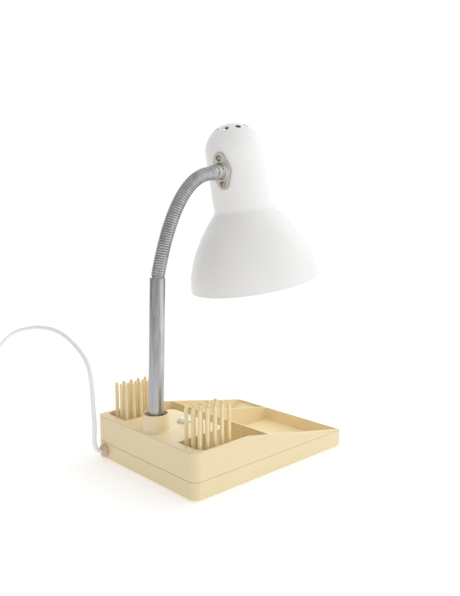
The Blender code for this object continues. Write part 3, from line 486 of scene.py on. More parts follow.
def make_looks():
    cream = surface("cream_plastic", (0.86, 0.725, 0.465), (0.83, 0.685, 0.41), 0.30, spots=16, grain=1400,
                    bump=0.05, specular=0.6, shine=0.015)
    looks = {
        "cream_plastic": cream,
        "pin_plastic": surface("pin_plastic", (0.90, 0.76, 0.47), (0.87, 0.72, 0.41), 0.32, spots=40,
                               bump=0.03, shine=0.015),
        "white_paint": surface("white_paint", (0.91, 0.90, 0.885), (0.88, 0.86, 0.835), 0.33, spots=22,
                               grain=500, bump=0.04, contrast=0.3, shine=0.02),
        "white_plastic": surface("white_plastic", (0.86, 0.84, 0.82), (0.82, 0.80, 0.78), 0.3, spots=60),
        "stem_steel": surface("stem_steel", (0.62, 0.62, 0.62), (0.30, 0.30, 0.31), 0.3, 1.0, spots=320,
                              grain=900, bump=0.12, stretch=(1, 1, 0.07), shine=0.14, contrast=0.22),
        "hose_steel": surface("hose_steel", (0.58, 0.58, 0.59), (0.30, 0.30, 0.31), 0.2, 1.0, spots=160,
                              grain=900, bump=0.1, contrast=0.3),
        "cast_zinc": surface("cast_zinc", (0.63, 0.62, 0.575), (0.46, 0.455, 0.42), 0.38, 1.0, spots=120,
                             grain=700, bump=0.3),
        "zinc": surface("zinc", (0.60, 0.60, 0.61), (0.48, 0.48, 0.49), 0.38, 1.0, spots=200, bump=0.15),
        "bronze_screw": surface("bronze_screw", (0.52, 0.42, 0.34), (0.34, 0.26, 0.20), 0.3, 1.0, spots=400,
                                bump=0.2),
        "brass": surface("brass", (0.75, 0.57, 0.28), (0.62, 0.45, 0.2), 0.33, 1.0, spots=150, bump=0.1),
        "iron": surface("iron", (0.16, 0.16, 0.17), (0.10, 0.09, 0.09), 0.6, 0.8, spots=60, bump=0.4),
        "black_plastic": surface("black_plastic", (0.04, 0.04, 0.04), (0.025, 0.025, 0.025), 0.45, bump=0.2),
        "rubber": surface("rubber", (0.06, 0.06, 0.06), (0.035, 0.035, 0.035), 0.8, bump=0.4),
        "cord_plastic": surface("cord_plastic", (0.94, 0.93, 0.94), (0.91, 0.90, 0.91), 0.42, spots=90,
                                bump=0.06),
        "porcelain": surface("porcelain", (0.85, 0.84, 0.80), (0.79, 0.78, 0.74), 0.2, spots=60, bump=0.04),
        "bulb_glass": surface("bulb_glass", (0.90, 0.90, 0.87), (0.84, 0.84, 0.81), 0.22, spots=30,
                              bump=0.02),
        "gland_plastic": surface("gland_plastic", (0.72, 0.54, 0.40), (0.66, 0.48, 0.35), 0.38, spots=80),
    }
    return looks


# ---------------------------------------------------------------- finishing helpers

def bake(obj):
    """Turns an object and its modifiers into a plain mesh in world space and clears the cutters."""
    bpy.context.view_layer.update()
    evaluated = obj.evaluated_get(bpy.context.evaluated_depsgraph_get())
    mesh = bpy.data.meshes.new_from_object(evaluated)
    mesh.transform(obj.matrix_world)
    obj.modifiers.clear()
    obj.data = mesh
    obj.matrix_world = Matrix()
    for other in CUTTERS:
        bpy.data.objects.remove(other, do_unlink=True)
    CUTTERS.clear()
    return obj


def smooth(obj, angle=38):
    obj.data.shade_smooth()
    obj.data.set_sharp_from_angle(angle=math.radians(angle))
    return obj


def tidy_normals(obj):
    weighted = obj.modifiers.new("even_normals", "WEIGHTED_NORMAL")
    weighted.keep_sharp = True
    return obj


def soften(obj, width_of, widest, segments=3):
    """Rounds the sharp edges of a baked mesh. width_of gives each edge's radius from its middle."""
    shape = bmesh.new()
    shape.from_mesh(obj.data)
    bmesh.ops.remove_doubles(shape, verts=shape.verts, dist=0.00002)
    bmesh.ops.dissolve_limit(shape, angle_limit=math.radians(0.5), verts=shape.verts, edges=shape.edges)
    layer = shape.edges.layers.float.new("bevel_weight_edge")
    for edge in shape.edges:
        if len(edge.link_faces) != 2:
            continue
        angle = edge.calc_face_angle_signed(0)
        if abs(angle) < math.radians(30):
            continue
        middle = (edge.verts[0].co + edge.verts[1].co) / 2
        run = (edge.verts[1].co - edge.verts[0].co).normalized()
        edge[layer] = width_of(middle, run, angle) / widest
    shape.to_mesh(obj.data)
    shape.free()
    bevel = obj.modifiers.new("soft_edges", "BEVEL")
    bevel.limit_method = "WEIGHT"
    bevel.width = widest
    bevel.segments = segments
    bevel.use_clamp_overlap = False
    bevel.harden_normals = False
    bpy.context.view_layer.update()
    mesh = bpy.data.meshes.new_from_object(obj.evaluated_get(bpy.context.evaluated_depsgraph_get()))
    obj.modifiers.clear()
    obj.data = mesh
    return obj


def lathe(name, profile, matrix, material, steps=64, closed=False):
    """A turned piece with its radii and heights given in millimetres."""
    points = [(radius * MM, height * MM) for radius, height in profile]
    obj = turned(name, points, matrix, material, steps=steps, closed=closed)
    bake(obj)
    return smooth(obj, 50)


def settle(obj, body, *nodes):
    """A finished piece rides on a body and stands for its CAD nodes."""
    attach(obj, body)
    if nodes:
        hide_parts(*nodes)
    return obj


# ---------------------------------------------------------------- camera, floor and light

CAMERA_PLACE = (-0.5175, 0.4740, 0.2686)
CAMERA_TILT = math.radians(82.60)
CAMERA_TURN = math.radians(-133.29)
CAMERA_LENS = 38.18
FLOOR_REACH = 60
FLOOR_GLOW = 0.38
ROOM_FRONT = 1.03
ROOM_BEHIND = 0.62
DARK_SIDE = Vector((0.75, 0.66, 0.05)).normalized()
DARK_SHARE = 0.45
AIM = Vector((0, 0, 0.15))


def add_camera():
    camera = bpy.data.cameras.new("view")
    camera.lens = CAMERA_LENS
    camera.sensor_width = 36
    camera.clip_start = 0.02
    obj = bpy.data.objects.new("view", camera)
    bpy.context.scene.collection.objects.link(obj)
    obj.location = CAMERA_PLACE
    obj.rotation_euler = (CAMERA_TILT, 0, CAMERA_TURN)
    bpy.context.scene.camera = obj


def add_floor():
    """A pale floor that gives off a little light of its own, so that it stays as white as the photo's."""
    mesh = bpy.data.meshes.new("floor")
    reach = FLOOR_REACH
    mesh.from_pydata([(-reach, -reach, 0), (reach, -reach, 0), (reach, reach, 0), (-reach, reach, 0)], [],
                     [(0, 1, 2, 3)])
    floor = bpy.data.objects.new("floor", mesh)
    bpy.context.scene.collection.objects.link(floor)
    material = bpy.data.materials.new("pale_floor")
    material.use_nodes = True
    shader = material.node_tree.nodes["Principled BSDF"]
    shader.inputs["Base Color"].default_value = (0.80, 0.80, 0.80, 1)
    shader.inputs["Roughness"].default_value = 0.9
    shader.inputs["Specular IOR Level"].default_value = 0.0
    shader.inputs["Emission Color"].default_value = (1, 1, 1, 1)
    shader.inputs["Emission Strength"].default_value = FLOOR_GLOW
    mesh.materials.append(material)


def add_light(name, direction, elevation, distance, size, power, colour):
    """A square soft light that looks at the lamp from a direction on the ground and a height."""
    light = bpy.data.lights.new(name, "AREA")
    light.shape = "SQUARE"
    light.size = size
    light.energy = power
    light.color = colour
    obj = bpy.data.objects.new(name, light)
    bpy.context.scene.collection.objects.link(obj)
    flat = Vector((direction[0], direction[1], 0)).normalized()
    away = flat * math.cos(math.radians(elevation)) + Vector((0, 0, math.sin(math.radians(elevation))))
    obj.location = AIM + away * distance
    obj.rotation_euler = (-away).to_track_quat("-Z", "Y").to_euler()


def add_tray_glow():
    """A weak light under the shade, unseen by the camera. The room alone leaves the tray too dark."""
    light = bpy.data.lights.new("tray_glow", "AREA")
    light.shape = "SQUARE"
    light.size = 0.12
    light.energy = 0.085
    light.color = (1.0, 0.97, 0.92)
    obj = bpy.data.objects.new("tray_glow", light)
    bpy.context.scene.collection.objects.link(obj)
    obj.location = (-0.005, -0.045, 0.170)
    obj.visible_camera = False


def add_world():
    """A white room, brighter in front of the lamp than behind it, with one darker patch for the metal."""
    world = bpy.data.worlds.new("soft_room")
    bpy.context.scene.world = world
    world.use_nodes = True
    nodes = world.node_tree.nodes
    links = world.node_tree.links
    background = nodes["Background"]
    background.inputs["Color"].default_value = (1.0, 1.0, 1.0, 1)
    direction = nodes.new("ShaderNodeTexCoord")
    parts = nodes.new("ShaderNodeSeparateXYZ")
    links.new(direction.outputs["Generated"], parts.inputs["Vector"])
    fade = nodes.new("ShaderNodeMapRange")
    fade.interpolation_type = "SMOOTHSTEP"
    fade.inputs["From Min"].default_value = -0.35
    fade.inputs["From Max"].default_value = 0.45
    fade.inputs["To Min"].default_value = ROOM_FRONT
    fade.inputs["To Max"].default_value = ROOM_BEHIND
    links.new(parts.outputs["Y"], fade.inputs["Value"])
    toward = nodes.new("ShaderNodeVectorMath")
    toward.operation = "DOT_PRODUCT"
    toward.inputs[1].default_value = DARK_SIDE
    links.new(direction.outputs["Generated"], toward.inputs[0])
    dark = nodes.new("ShaderNodeMapRange")
    dark.interpolation_type = "SMOOTHSTEP"
    dark.inputs["From Min"].default_value = 0.80
    dark.inputs["From Max"].default_value = 0.93
    dark.inputs["To Min"].default_value = 1.0
    dark.inputs["To Max"].default_value = DARK_SHARE
    links.new(toward.outputs["Value"], dark.inputs["Value"])
    product = nodes.new("ShaderNodeMath")
    product.operation = "MULTIPLY"
    links.new(fade.outputs["Result"], product.inputs[0])
    links.new(dark.outputs["Result"], product.inputs[1])
    links.new(product.outputs["Value"], background.inputs["Strength"])


# ---------------------------------------------------------------- base

def detailed_outline(inset):
    """The base's outline, drawn in by an inset."""
    half_x = BASE_WIDTH / 2 - inset
    half_y = BASE_LENGTH / 2 - inset
    return rounded_rectangle(-half_x, half_x, -half_y, half_y, max(FRONT_CORNER - inset, 1 * MM),
                             REAR_CORNER - inset, steps=10)


def make_pan(looks):
    pan = slab("base_pan_shell", detailed_outline(0), PAN_BOTTOM, PARTING_Z - GAP / 2, looks["cream_plastic"])
    cut(pan, slab("pan_hollow", detailed_outline(PAN_WALL), PAN_FLOOR, 30 * MM, cutter=True))
    for i, (x, y) in enumerate(CASE_SCREWS):
        spot = Vector((x, y, 0))
        cut(pan, rod(f"screw_recess_{i}", spot - Vector((0, 0, 1 * MM)), spot + Vector((0, 0, 3.1 * MM)),
                     3.2 * MM, cutter=True, sides=32))
    for i, (x, y) in enumerate(FOOT_SPOTS):
        spot = Vector((x, y, 0))
        cut(pan, rod(f"foot_hole_{i}", spot - Vector((0, 0, 1 * MM)), spot + Vector((0, 0, 9 * MM)), 2.8 * MM,
                     cutter=True, sides=24))
    cut(pan, gland_cutter("pan_gland_hole"))
    bake(pan)

    def width_of(middle, run, angle):
        near_wall = max(abs(middle.x) - 70 * MM, abs(middle.y) - 100 * MM) > 0
        if abs(middle.z - PAN_BOTTOM) < 0.2 * MM and near_wall:
            return 1.4 * MM
        if abs(middle.z - (PARTING_Z - GAP / 2)) < 0.1 * MM and not is_inner(middle):
            return 0.45 * MM
        return 0

    soften(pan, width_of, 1.4 * MM)
    smooth(pan)
    tidy_normals(pan)
    settle(pan, "base", "base_pan")


def is_inner(point):
    return abs(point.x) < BASE_WIDTH / 2 - 1 * MM and abs(point.y) < BASE_LENGTH / 2 - 1 * MM


def make_cover(looks):
    cover = slab("base_cover_shell", detailed_outline(0), PARTING_Z + GAP / 2, DECK_Z, looks["cream_plastic"])
    cut(cover, box("slope_cut", (-0.2, -0.1, 0), (0.2, 0.2, 0.1), cutter=True, matrix=slope_matrix()))
    bake(cover)
    slope = slope_matrix().inverted()

    def outer_width(middle, run, angle):
        on_slope = abs((slope @ middle).z) < 0.1 * MM
        on_deck = abs(middle.z - DECK_Z) < 0.1 * MM
        if abs(run.z) > 0.9:
            return 0
        if (on_slope or on_deck) and not is_inner(middle):
            if middle.y < -BASE_LENGTH / 2 + FRONT_CORNER + 0.1 * MM:
                return 0
            return 1.4 * MM if on_deck else 0.4 * MM
        if abs(middle.z - (PARTING_Z + GAP / 2)) < 0.1 * MM and middle.y > -BASE_LENGTH / 2 + FRONT_CORNER:
            return 0.3 * MM
        return 0

    soften(cover, outer_width, 1.4 * MM, 4)
    skirt = slab("cover_skirt", detailed_outline(COVER_INSET), 3.5 * MM, PARTING_Z + 0.4 * MM, cutter=True)
    join(cover, skirt)
    cut(cover, *underside_cutters())
    cut(cover, well_cutter())
    cut(cover, slab("tray_hollow", rounded_rectangle(-INNER_X, DIVIDER[0], INNER_FRONT_Y, CROSS_WALL[0],
                                                     3 * MM, 3 * MM, 8), TRAY_FLOOR, 90 * MM, cutter=True))
    cut(cover, groove_cutter())
    stem = stem_matrix()
    cut(cover, rod("stem_hole", stem @ Vector((0, 0, -6 * MM)), stem @ Vector((0, 0, 4 * MM)), 6.4 * MM,
                   cutter=True, sides=48))
    cut(cover, gland_cutter("cover_gland_hole"))
    low = Vector((BUTTON_X, BUTTON_Y, 40 * MM))
    high = Vector((BUTTON_X, BUTTON_Y, 60 * MM))
    cut(cover, rod("button_hole", low, high, 7.2 * MM, cutter=True, sides=64))
    bake(cover)

    def inner_width(middle, run, angle):
        on_slope = abs((slope @ middle).z) < 0.1 * MM and middle.y < SLOPE_START_Y + 1 * MM
        on_deck = abs(middle.z - DECK_Z) < 0.1 * MM
        if not (on_slope or on_deck) or abs(run.z) > 0.9:
            return 0
        if abs(middle.x) > INNER_X + 0.3 * MM or middle.y < INNER_FRONT_Y - 0.3 * MM:
            return 0
        if middle.y > WELL_REAR_Y + 2 * MM or middle.y < INNER_FRONT_Y + 4 * MM:
            return 0
        if (middle.xy - Vector((BUTTON_X, BUTTON_Y))).length < 9 * MM:
            return 0.4 * MM
        return 0.55 * MM

    soften(cover, inner_width, 0.55 * MM, 2)
    smooth(cover)
    tidy_normals(cover)
    settle(cover, "base", "base_cover")


def make_pins(looks):
    groups = [("near", NEAR_PIN_COLUMNS, -INNER_X + 0.6 * MM, DECK_X[0] - 0.6 * MM),
              ("far", FAR_PIN_COLUMNS, DECK_X[1] + 0.6 * MM, WELL_FAR_X - 0.6 * MM)]
    for side, columns, x0, x1 in groups:
        plate_top = WELL_FLOOR + 3.3 * MM
        outline = rounded_rectangle(x0, x1, PIN_ROWS[0] - 5.5 * MM, WELL_REAR_Y - 0.6 * MM, 2 * MM, 7.6 * MM,
                                    8)
        plate = slab(f"pin_plate_{side}", outline, WELL_FLOOR + GAP, plate_top, looks["pin_plastic"])
        bake(plate)
        soften(plate, lambda middle, run, angle: 0.5 * MM if middle.z > plate_top - 0.1 * MM else 0, 0.5 * MM)
        smooth(plate)
        thick = PIN_RADIUS / MM
        top = PIN_TOP / MM
        foot = plate_top / MM
        tip = [(0, top)]
        for degrees in (75, 60, 45, 30, 15, 0):
            angle = math.radians(degrees)
            tip.append((thick * math.cos(angle), top - thick + thick * math.sin(angle)))
        profile = tip + [(thick, foot + 1.0), (2.15, foot + 0.5), (2.9, foot - 0.05), (0, foot - 0.05)]
        pins = []
        for i, x in enumerate(columns):
            for j, y in enumerate(PIN_ROWS):
                pins.append(lathe(f"pin_{side}_{i}_{j}", profile, Matrix.Translation((x, y, 0)),
                                  looks["pin_plastic"], steps=24))
        shape = bmesh.new()
        shape.from_mesh(plate.data)
        for pin in pins:
            shape.from_mesh(pin.data)
            bpy.data.objects.remove(pin, do_unlink=True)
        shape.to_mesh(plate.data)
        shape.free()
        smooth(plate)
        settle(plate, "base", f"pin_holder_{side}")


def make_cup_stem_button(looks):
    upright = Matrix.Translation((STEM_FOOT.x, STEM_FOOT.y - CUP_OFFSET, 0))
    deck = DECK_Z / MM + 0.05
    cup = [(11.85, deck), (11.85, 65.2), (12.0, 65.9), (12.3, 66.3), (12.75, 66.4), (13.0, 66.2)]
    cup += [(13.15, 65.7), (13.9, deck + 3.2), (14.05, deck + 1.6), (14.35, deck + 0.7), (14.9, deck + 0.2)]
    cup.append((15.3, deck))
    settle(lathe("stem_cup_turned", cup[::-1], upright, looks["cream_plastic"], 96, True), "base", "stem_cup")
    stem = [(6.7, 157.4), (7.0, 158.0), (7.4, 158.25), (7.8, 158.1), (8.0, 157.6), (8.0, 0.8), (7.6, 0.5)]
    stem += [(6.0, 0.5), (6.0, -12.5), (4.5, -12.5), (4.5, 3.0), (6.7, 3.0)]
    settle(lathe("stem_satin", stem, stem_matrix(), looks["stem_steel"], 96, True), "base", "stem_tube")
    cap = [(0, 53.3), (2.4, 53.25), (4.2, 53.0), (5.4, 52.5), (6.1, 51.8), (6.4, 50.9), (6.5, 49.8)]
    cap += [(6.5, 44), (2, 44), (2, 36), (0, 36)]
    button = lathe("button_cap", cap, Matrix.Translation((BUTTON_X, BUTTON_Y, 0)), looks["white_plastic"], 64)
    settle(button, "button", "push_button")


def make_gland(looks):
    profile = [(2.7, 4.1), (2.95, 4.4), (4.9, 4.4), (5.6, 4.25), (6.4, 3.8), (7.0, 3.1), (7.4, 2.2)]
    profile += [(7.5, 1.4), (7.5, 0.2), (5.1, 0.2), (5.1, -2.6), (2.7, -2.6)]
    gland = lathe("gland_turned", profile, frame_along(GLAND, (0, 1, 0)), looks["gland_plastic"], 64, True)
    settle(gland, "base", "cord_gland")


# ---------------------------------------------------------------- gooseneck

HOSE_CORE_RADIUS = 5.8
HOSE_END_RING = (131.5, 135.1)
RIB_PITCH = 2.5
RIB_DEPTH = 1.0
STEPS_PER_RIB = 10
HOSE_SIDES = 40


def hose_tube(name, start, end, looks, radius_at):
    """A closed tube along the hose between two lengths in millimetres, its radius given along it."""
    count = max(4, round((end - start) / (RIB_PITCH / STEPS_PER_RIB)))
    rings = []
    for i in range(count + 1):
        length = start + (end - start) * i / count
        centre = hose_at(length * MM)
        along = hose_at((length + 0.4) * MM) - hose_at((length - 0.4) * MM)
        flat = frame_along(centre, along, Vector((0.95, 0.25, 0.15)))
        radius = radius_at(length) * MM
        ring = []
        for j in range(HOSE_SIDES):
            angle = 2 * math.pi * j / HOSE_SIDES
            ring.append(flat @ Vector((radius * math.cos(angle), radius * math.sin(angle), 0)))
        rings.append(ring)
    points = [point for ring in rings for point in ring]
    faces = []
    for i in range(count):
        for j in range(HOSE_SIDES):
            a = i * HOSE_SIDES + j
            b = i * HOSE_SIDES + (j + 1) % HOSE_SIDES
            faces.append((a, b, b + HOSE_SIDES, a + HOSE_SIDES))
    faces.append(tuple(range(HOSE_SIDES))[::-1])
    faces.append(tuple(count * HOSE_SIDES + j for j in range(HOSE_SIDES)))
    mesh = bpy.data.meshes.new(name)
    mesh.from_pydata(points, [], faces)
    return smooth(make_object(name, mesh, looks["hose_steel"]), 55)


def rib_radius(length):
    """Round wire ribs with a narrow groove between each two."""
    share = (length / RIB_PITCH) % 1.0
    crown = math.sqrt(max(0.0, 1 - (2 * share - 1) ** 2))
    return HOSE_RADIUS / MM - RIB_DEPTH * (1 - crown) ** 1.2


def make_hose(looks):
    half = JOINT_SPACING / 2 / MM
    first = FIRST_JOINT / MM
    pitch = JOINT_SPACING / MM
    borders = [1.2] + [first + half + pitch * i for i in range(6)] + [131.6]
    for i in range(JOINT_COUNT):
        piece = hose_tube(f"hose_ribs_{i + 1}", borders[i], borders[i + 1], looks, rib_radius)
        nodes = ["gooseneck_foot"] if i == 0 else [f"gooseneck_link_{i}"]
        if i == JOINT_COUNT - 1:
            nodes.append("gooseneck_tip")
        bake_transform(piece)
        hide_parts(*nodes)
    core = hose_tube("hose_core", -6.5, 1.3, looks, lambda length: HOSE_CORE_RADIUS)
    settle(core, "base")

    def ring_radius(length):
        edge = min(length - HOSE_END_RING[0], HOSE_END_RING[1] - length)
        return 7.75 - 0.6 * max(0.0, 1 - edge / 0.6) ** 2

    ring = hose_tube("hose_end_ring", *HOSE_END_RING, looks, ring_radius)
    settle(ring, "head")
    end_core = hose_tube("hose_end_core", 135.0, 144.0, looks, lambda length: HOSE_CORE_RADIUS)
    settle(end_core, "head")


# ---------------------------------------------------------------- head

def detailed_shade_profile():
    """(radius, height) in millimetres, down the outer face, round the rim and back up the inner one."""
    outer = []
    for i in range(19):
        angle = math.radians(5 * i)
        outer.append((32 * math.sin(angle), 18 + 30.5 * math.cos(angle)))
    outer += [(32.3, 2), (32.5, -20), (32.5, -43.0), (32.65, -44.8), (33.05, -46.2), (33.75, -47.4)]
    outer.append((34.5, -48.3))
    for i in range(25):
        along = BELL_START + (BELL_END - BELL_START - 1.2 * MM) * i / 24
        outer.append((bell_radius(along) / MM, -along / MM))
    rim = bell_radius(BELL_END) / MM
    low = BELL_END / MM
    outer += [(rim + 0.15, -low + 0.9), (rim + 0.2, -low + 0.4), (rim, -low), (rim - 0.5, -low - 0.05),
              (rim - 1.0, -low + 0.2), (rim - 1.1, -low + 0.9)]
    inner = []
    for i in range(24):
        along = BELL_END - 2 * MM - (BELL_END - BELL_START - 2 * MM) * i / 23
        inner.append((bell_radius(along) / MM - 0.8, -along / MM))
    inner += [(32.6, -47.2), (31.7, -46.2), (31.7, -20), (31.5, 2)]
    for i in range(19):
        angle = math.radians(90 - 5 * i)
        inner.append((31.2 * math.sin(angle), 18 + 29.7 * math.cos(angle)))
    return outer + inner


def make_shade(looks):
    points = [(radius * MM, height * MM) for radius, height in detailed_shade_profile()]
    shade = turned("shade_spun", points, head_matrix(), looks["white_paint"], steps=144)
    upright = head_matrix().inverted()
    for i in range(VENT_COUNT):
        azimuth = VENT_START + 2 * math.pi * i / VENT_COUNT
        flat = upright.to_3x3() @ Vector((math.cos(azimuth), math.sin(azimuth), 0))
        flat.z = 0
        flat = flat.normalized()
        height = DOME_HEIGHT * math.sqrt(1 - (VENT_RING / DOME_RADIUS) ** 2)
        normal = Vector((flat.x * VENT_RING / DOME_RADIUS ** 2, flat.y * VENT_RING / DOME_RADIUS ** 2,
                         height / DOME_HEIGHT ** 2)).normalized()
        spot = flat * VENT_RING + Vector((0, 0, -DOME_BASE + height))
        inside = head_matrix() @ (spot - normal * 4 * MM)
        outside = head_matrix() @ (spot + normal * 4 * MM)
        cut(shade, rod(f"vent_{i}", inside, outside, VENT_RADIUS, cutter=True, sides=40))
    bake(shade)
    smooth(shade, 50)
    tidy_normals(shade)
    settle(shade, "head", "shade")


def cross_screw(name, profile, spot, direction, looks, look, slot_depth, reach, turn=0.4):
    """A turned screw head with a cross recess."""
    flat = frame_along(spot, direction)
    points = [(radius * MM, height * MM) for radius, height in profile]
    screw = turned(name, points, flat, looks[look], steps=48)
    for i in range(2):
        twist = flat @ Matrix.Rotation(turn + i * math.pi / 2, 4, "Z")
        cut(screw, box(f"{name}_recess_{i}", (-reach, -0.55 * MM, slot_depth), (reach, 0.55 * MM, 9 * MM),
                       cutter=True, matrix=twist))
    bake(screw)
    return smooth(screw, 40)


def make_side_fitting(looks):
    face = frame_along(side_point(0, 0), SIDE, head_matrix().to_3x3() @ Vector((1, 0, 0)))
    middle_radius = 10.8 * MM
    end_radius = 6.2 * MM
    lean = math.degrees(math.asin((middle_radius - end_radius) / FLANGE_SCREW_OFFSET))
    oval = arc((0, 0), middle_radius, -lean, lean, 12)
    oval += arc((0, FLANGE_SCREW_OFFSET), end_radius, lean, 180 - lean, 28)
    oval += arc((0, 0), middle_radius, 180 - lean, 180 + lean, 12)
    oval += arc((0, -FLANGE_SCREW_OFFSET), end_radius, 180 + lean, 360 - lean, 28)
    fitting = slab("side_fitting", oval, 30.6 * MM, FLANGE_FACE, looks["cast_zinc"], matrix=face)
    bake(fitting)
    inverse = face.inverted()
    soften(fitting, lambda middle, run, angle: 0.8 * MM if (inverse @ middle).z > 35 * MM else 0, 0.8 * MM)
    cut(fitting, rod("neck_clearance", side_point(-60 * MM, 0), side_point(60 * MM, 0),
                     NECK_RADIUS + 0.2 * MM, cutter=True, sides=96))
    barrel = [(0, 49.9), (7.6, 49.9), (8.05, 49.7), (8.25, 49.3), (8.25, 38.4), (8.5, 37.4), (9.1, 36.6)]
    barrel += [(10.0, 36.0), (10.0, 35.0), (0, 35.0)]
    points = [(radius * MM, height * MM) for radius, height in barrel]
    join(fitting, turned("barrel", points, face, cutter=True, steps=72))
    cut(fitting, rod("barrel_socket", side_point(0, BARREL_END - 9 * MM), side_point(0, BARREL_END + 5 * MM),
                     6.4 * MM, cutter=True, sides=48))
    set_spot = side_point(0, BARREL_END - 5 * MM)
    across = head_matrix().to_3x3() @ Vector((-0.94, 0, 0.34))
    cut(fitting, rod("set_screw_hole", set_spot + across * 5 * MM, set_spot + across * 12 * MM, 1.7 * MM,
                     cutter=True, sides=24))
    bake(fitting)
    smooth(fitting, 40)
    tidy_normals(fitting)
    settle(fitting, "head", "hose_flange")
    profile = [(0, 2.0), (1.2, 1.85), (2.2, 1.5), (3.0, 0.95), (3.4, 0.35), (3.4, 0.05), (1.5, 0.05)]
    profile += [(1.5, -8.2), (0, -8.2)]
    for i, along in enumerate((-FLANGE_SCREW_OFFSET, FLANGE_SCREW_OFFSET)):
        spot = side_point(along, FLANGE_FACE)
        screw = cross_screw(f"flange_screw_head_{i + 1}", profile, spot, SIDE, looks, "bronze_screw",
                            0.5 * MM, 2.1 * MM)
        settle(screw, "head", f"flange_screw_{i + 1}")


def make_bulb(looks):
    inside = head_matrix()
    outer = [(12.4, -17.5), (12.8, -22), (13.8, -29), (15.6, -35), (18.6, -41.5)]
    for degrees in (32, 22, 12, 0, -12, -24, -36, -48, -60, -70, -80):
        angle = math.radians(degrees)
        outer.append((30 * math.cos(angle), -69 + 30 * math.sin(angle)))
    outer.append((0, -99))
    inner = [(max(0, radius - 0.9), height + (0.9 if radius == 0 else 0)) for radius, height in outer][::-1]
    bulb = lathe("bulb_globe", outer + inner, inside, looks["bulb_glass"], 72, True)
    settle(bulb, "head", "bulb_glass")
    cap = [(0, 6.6), (4, 6.4), (4.4, 4.6), (13.0, 1.6)]
    thread = []
    for i in range(25):
        height = 0.8 - i * 0.7
        thread.append((13.9 + 0.35 * math.cos(i * math.pi / 2), height))
    cap += thread + [(14.1, -17.2), (14.0, -19), (12.9, -19), (12.9, -1.2), (0, 0.5)]
    settle(lathe("bulb_cap_threaded", cap, inside, looks["zinc"], 64), "head", "bulb_cap")
    body = [(5.3, 19.7), (12.4, 19.7), (14.2, 19.2), (17.2, 17.2), (18.6, 14.8), (19, 12), (19, -8)]
    body += [(18.6, -8.5), (18.6, -9.5), (19, -10), (19, -16.3), (18.6, -17), (16.4, -17), (16.2, -16.6)]
    body += [(16.2, 12.5), (5.3, 12.5)]
    settle(lathe("lampholder_ringed", body, inside, looks["porcelain"], 72, True), "head", "lampholder_body")


# ---------------------------------------------------------------- cord and plug

TURNS = 6.5
TURN_PITCH = 5.3


def coil_points():
    """Two flat layers of turns, winding inwards on the ground and outwards on top."""
    points = []
    steps = round(TURNS * 24)
    for i in range(steps + 1):
        turn = TURNS * i / steps
        if turn <= 2.75:
            radius = 36 - TURN_PITCH * turn
            height = 2.6
        elif turn < 3.75:
            climb = math.radians(90 * (turn - 2.75))
            radius = 36 - TURN_PITCH * (turn - 1) - TURN_PITCH * math.cos(climb)
            height = 2.6 + TURN_PITCH * math.sin(climb)
        else:
            radius = 21.4 + TURN_PITCH * (turn - 3.75)
            height = 7.9
        angle = 2 * math.pi * turn - math.pi / 2
        points.append(COIL_CENTRE + Vector((radius * math.cos(angle), radius * math.sin(angle), height)) * MM)
    return points


def make_cord(looks):
    face = GLAND + Vector((0, GLAND_REACH + 0.1 * MM, 0))
    arch = smooth_route([Vector(point) * MM for point in CORD_GUIDES], 8 * MM)
    tail = [Vector(point) * MM for point in TAIL_GUIDES]
    points = [face] + arch[:-2] + coil_points()[:-1] + tail
    curve = bpy.data.curves.new("cord_run", "CURVE")
    curve.dimensions = "3D"
    curve.bevel_depth = CORD_RADIUS
    curve.bevel_resolution = 5
    curve.use_fill_caps = True
    spline = curve.splines.new("POLY")
    spline.points.add(len(points) - 1)
    for target, point in zip(spline.points, points):
        target.co = (*point, 1)
    curve.materials.append(looks["cord_plastic"])
    cord = bpy.data.objects.new("cord_run", curve)
    bpy.context.scene.collection.objects.link(cord)
    settle(cord, "base", "mains_cord", "cord_coil", "cord_tail")
    plug = make_plug(looks)


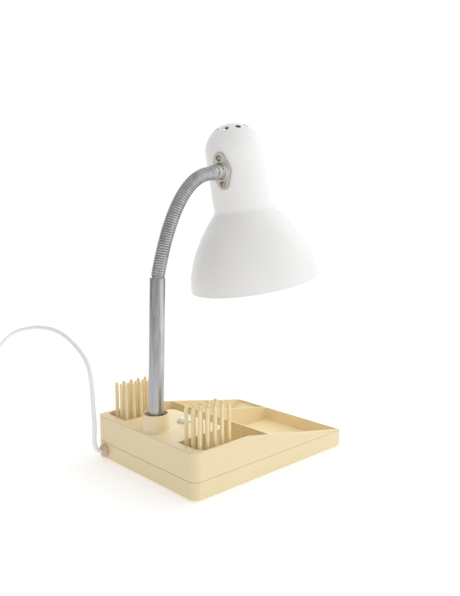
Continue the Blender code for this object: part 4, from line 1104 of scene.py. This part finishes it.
def make_plug(looks):
    """A plain two-pin plug lying flat, its pins pointing away from the cord."""
    start = Vector((365.8, 188.1, 7.1)) * MM
    flat = frame_along(start, (0, 0, 1), (0, -1, 0))
    outline = [(-4, 0), (4, 0), (5.2, 5), (8.5, 14), (12.0, 20), (13, 24), (13, 35), (-13, 35), (-13, 24)]
    outline += [(-12.0, 20), (-8.5, 14), (-5.2, 5)]
    points = [(x * MM, -y * MM) for x, y in outline]
    plug = slab("plug_body", points, -6.8 * MM, 6.8 * MM, looks["cord_plastic"], matrix=flat)
    bake(plug)
    soften(plug, lambda middle, run, angle: 2.0 * MM, 2.0 * MM, 4)
    for i, x in enumerate((-9.5 * MM, 9.5 * MM)):
        inner = flat @ Vector((x, -33 * MM, 0))
        tip = flat @ Vector((x, -54 * MM, 0))
        join(plug, rod(f"plug_pin_{i}", inner, tip, 2 * MM, cutter=True, sides=32))
    bake(plug)
    smooth(plug, 40)
    settle(plug, "base", "mains_plug")
    return plug


# ---------------------------------------------------------------- assembly

def paint_nodes(frame, looks):
    """Gives each CAD node that is still shown the finish of its material slot."""
    other_names = {"satin_steel": "stem_steel", "zinc_hardware": "zinc", "cast_ballast": "iron"}
    slots = {entry["node"]: entry["material_slot"] for entry in frame["record"]["subparts"]}
    for name, obj in frame["nodes"].items():
        slot = slots.get(name)
        look = looks.get(other_names.get(slot, slot), looks["zinc"])
        obj.data.materials.clear()
        obj.data.materials.append(look)


def main():
    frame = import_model()
    bpy.context.scene.view_settings.view_transform = "Standard"
    looks = make_looks()
    add_camera()
    add_floor()
    add_world()
    add_light("key", (-1.0, -0.7), 24, 1.6, 1.1, 1.7, (0.72, 0.88, 1.0))
    add_light("front", (-0.25, -1.0), 36, 1.5, 0.9, 1.6, (0.92, 0.95, 1.0))
    add_tray_glow()
    paint_nodes(frame, looks)
    make_cord(looks)
    make_pan(looks)
    make_cover(looks)
    make_pins(looks)
    make_cup_stem_button(looks)
    make_gland(looks)
    make_hose(looks)
    make_shade(looks)
    make_side_fitting(looks)
    make_bulb(looks)


main()
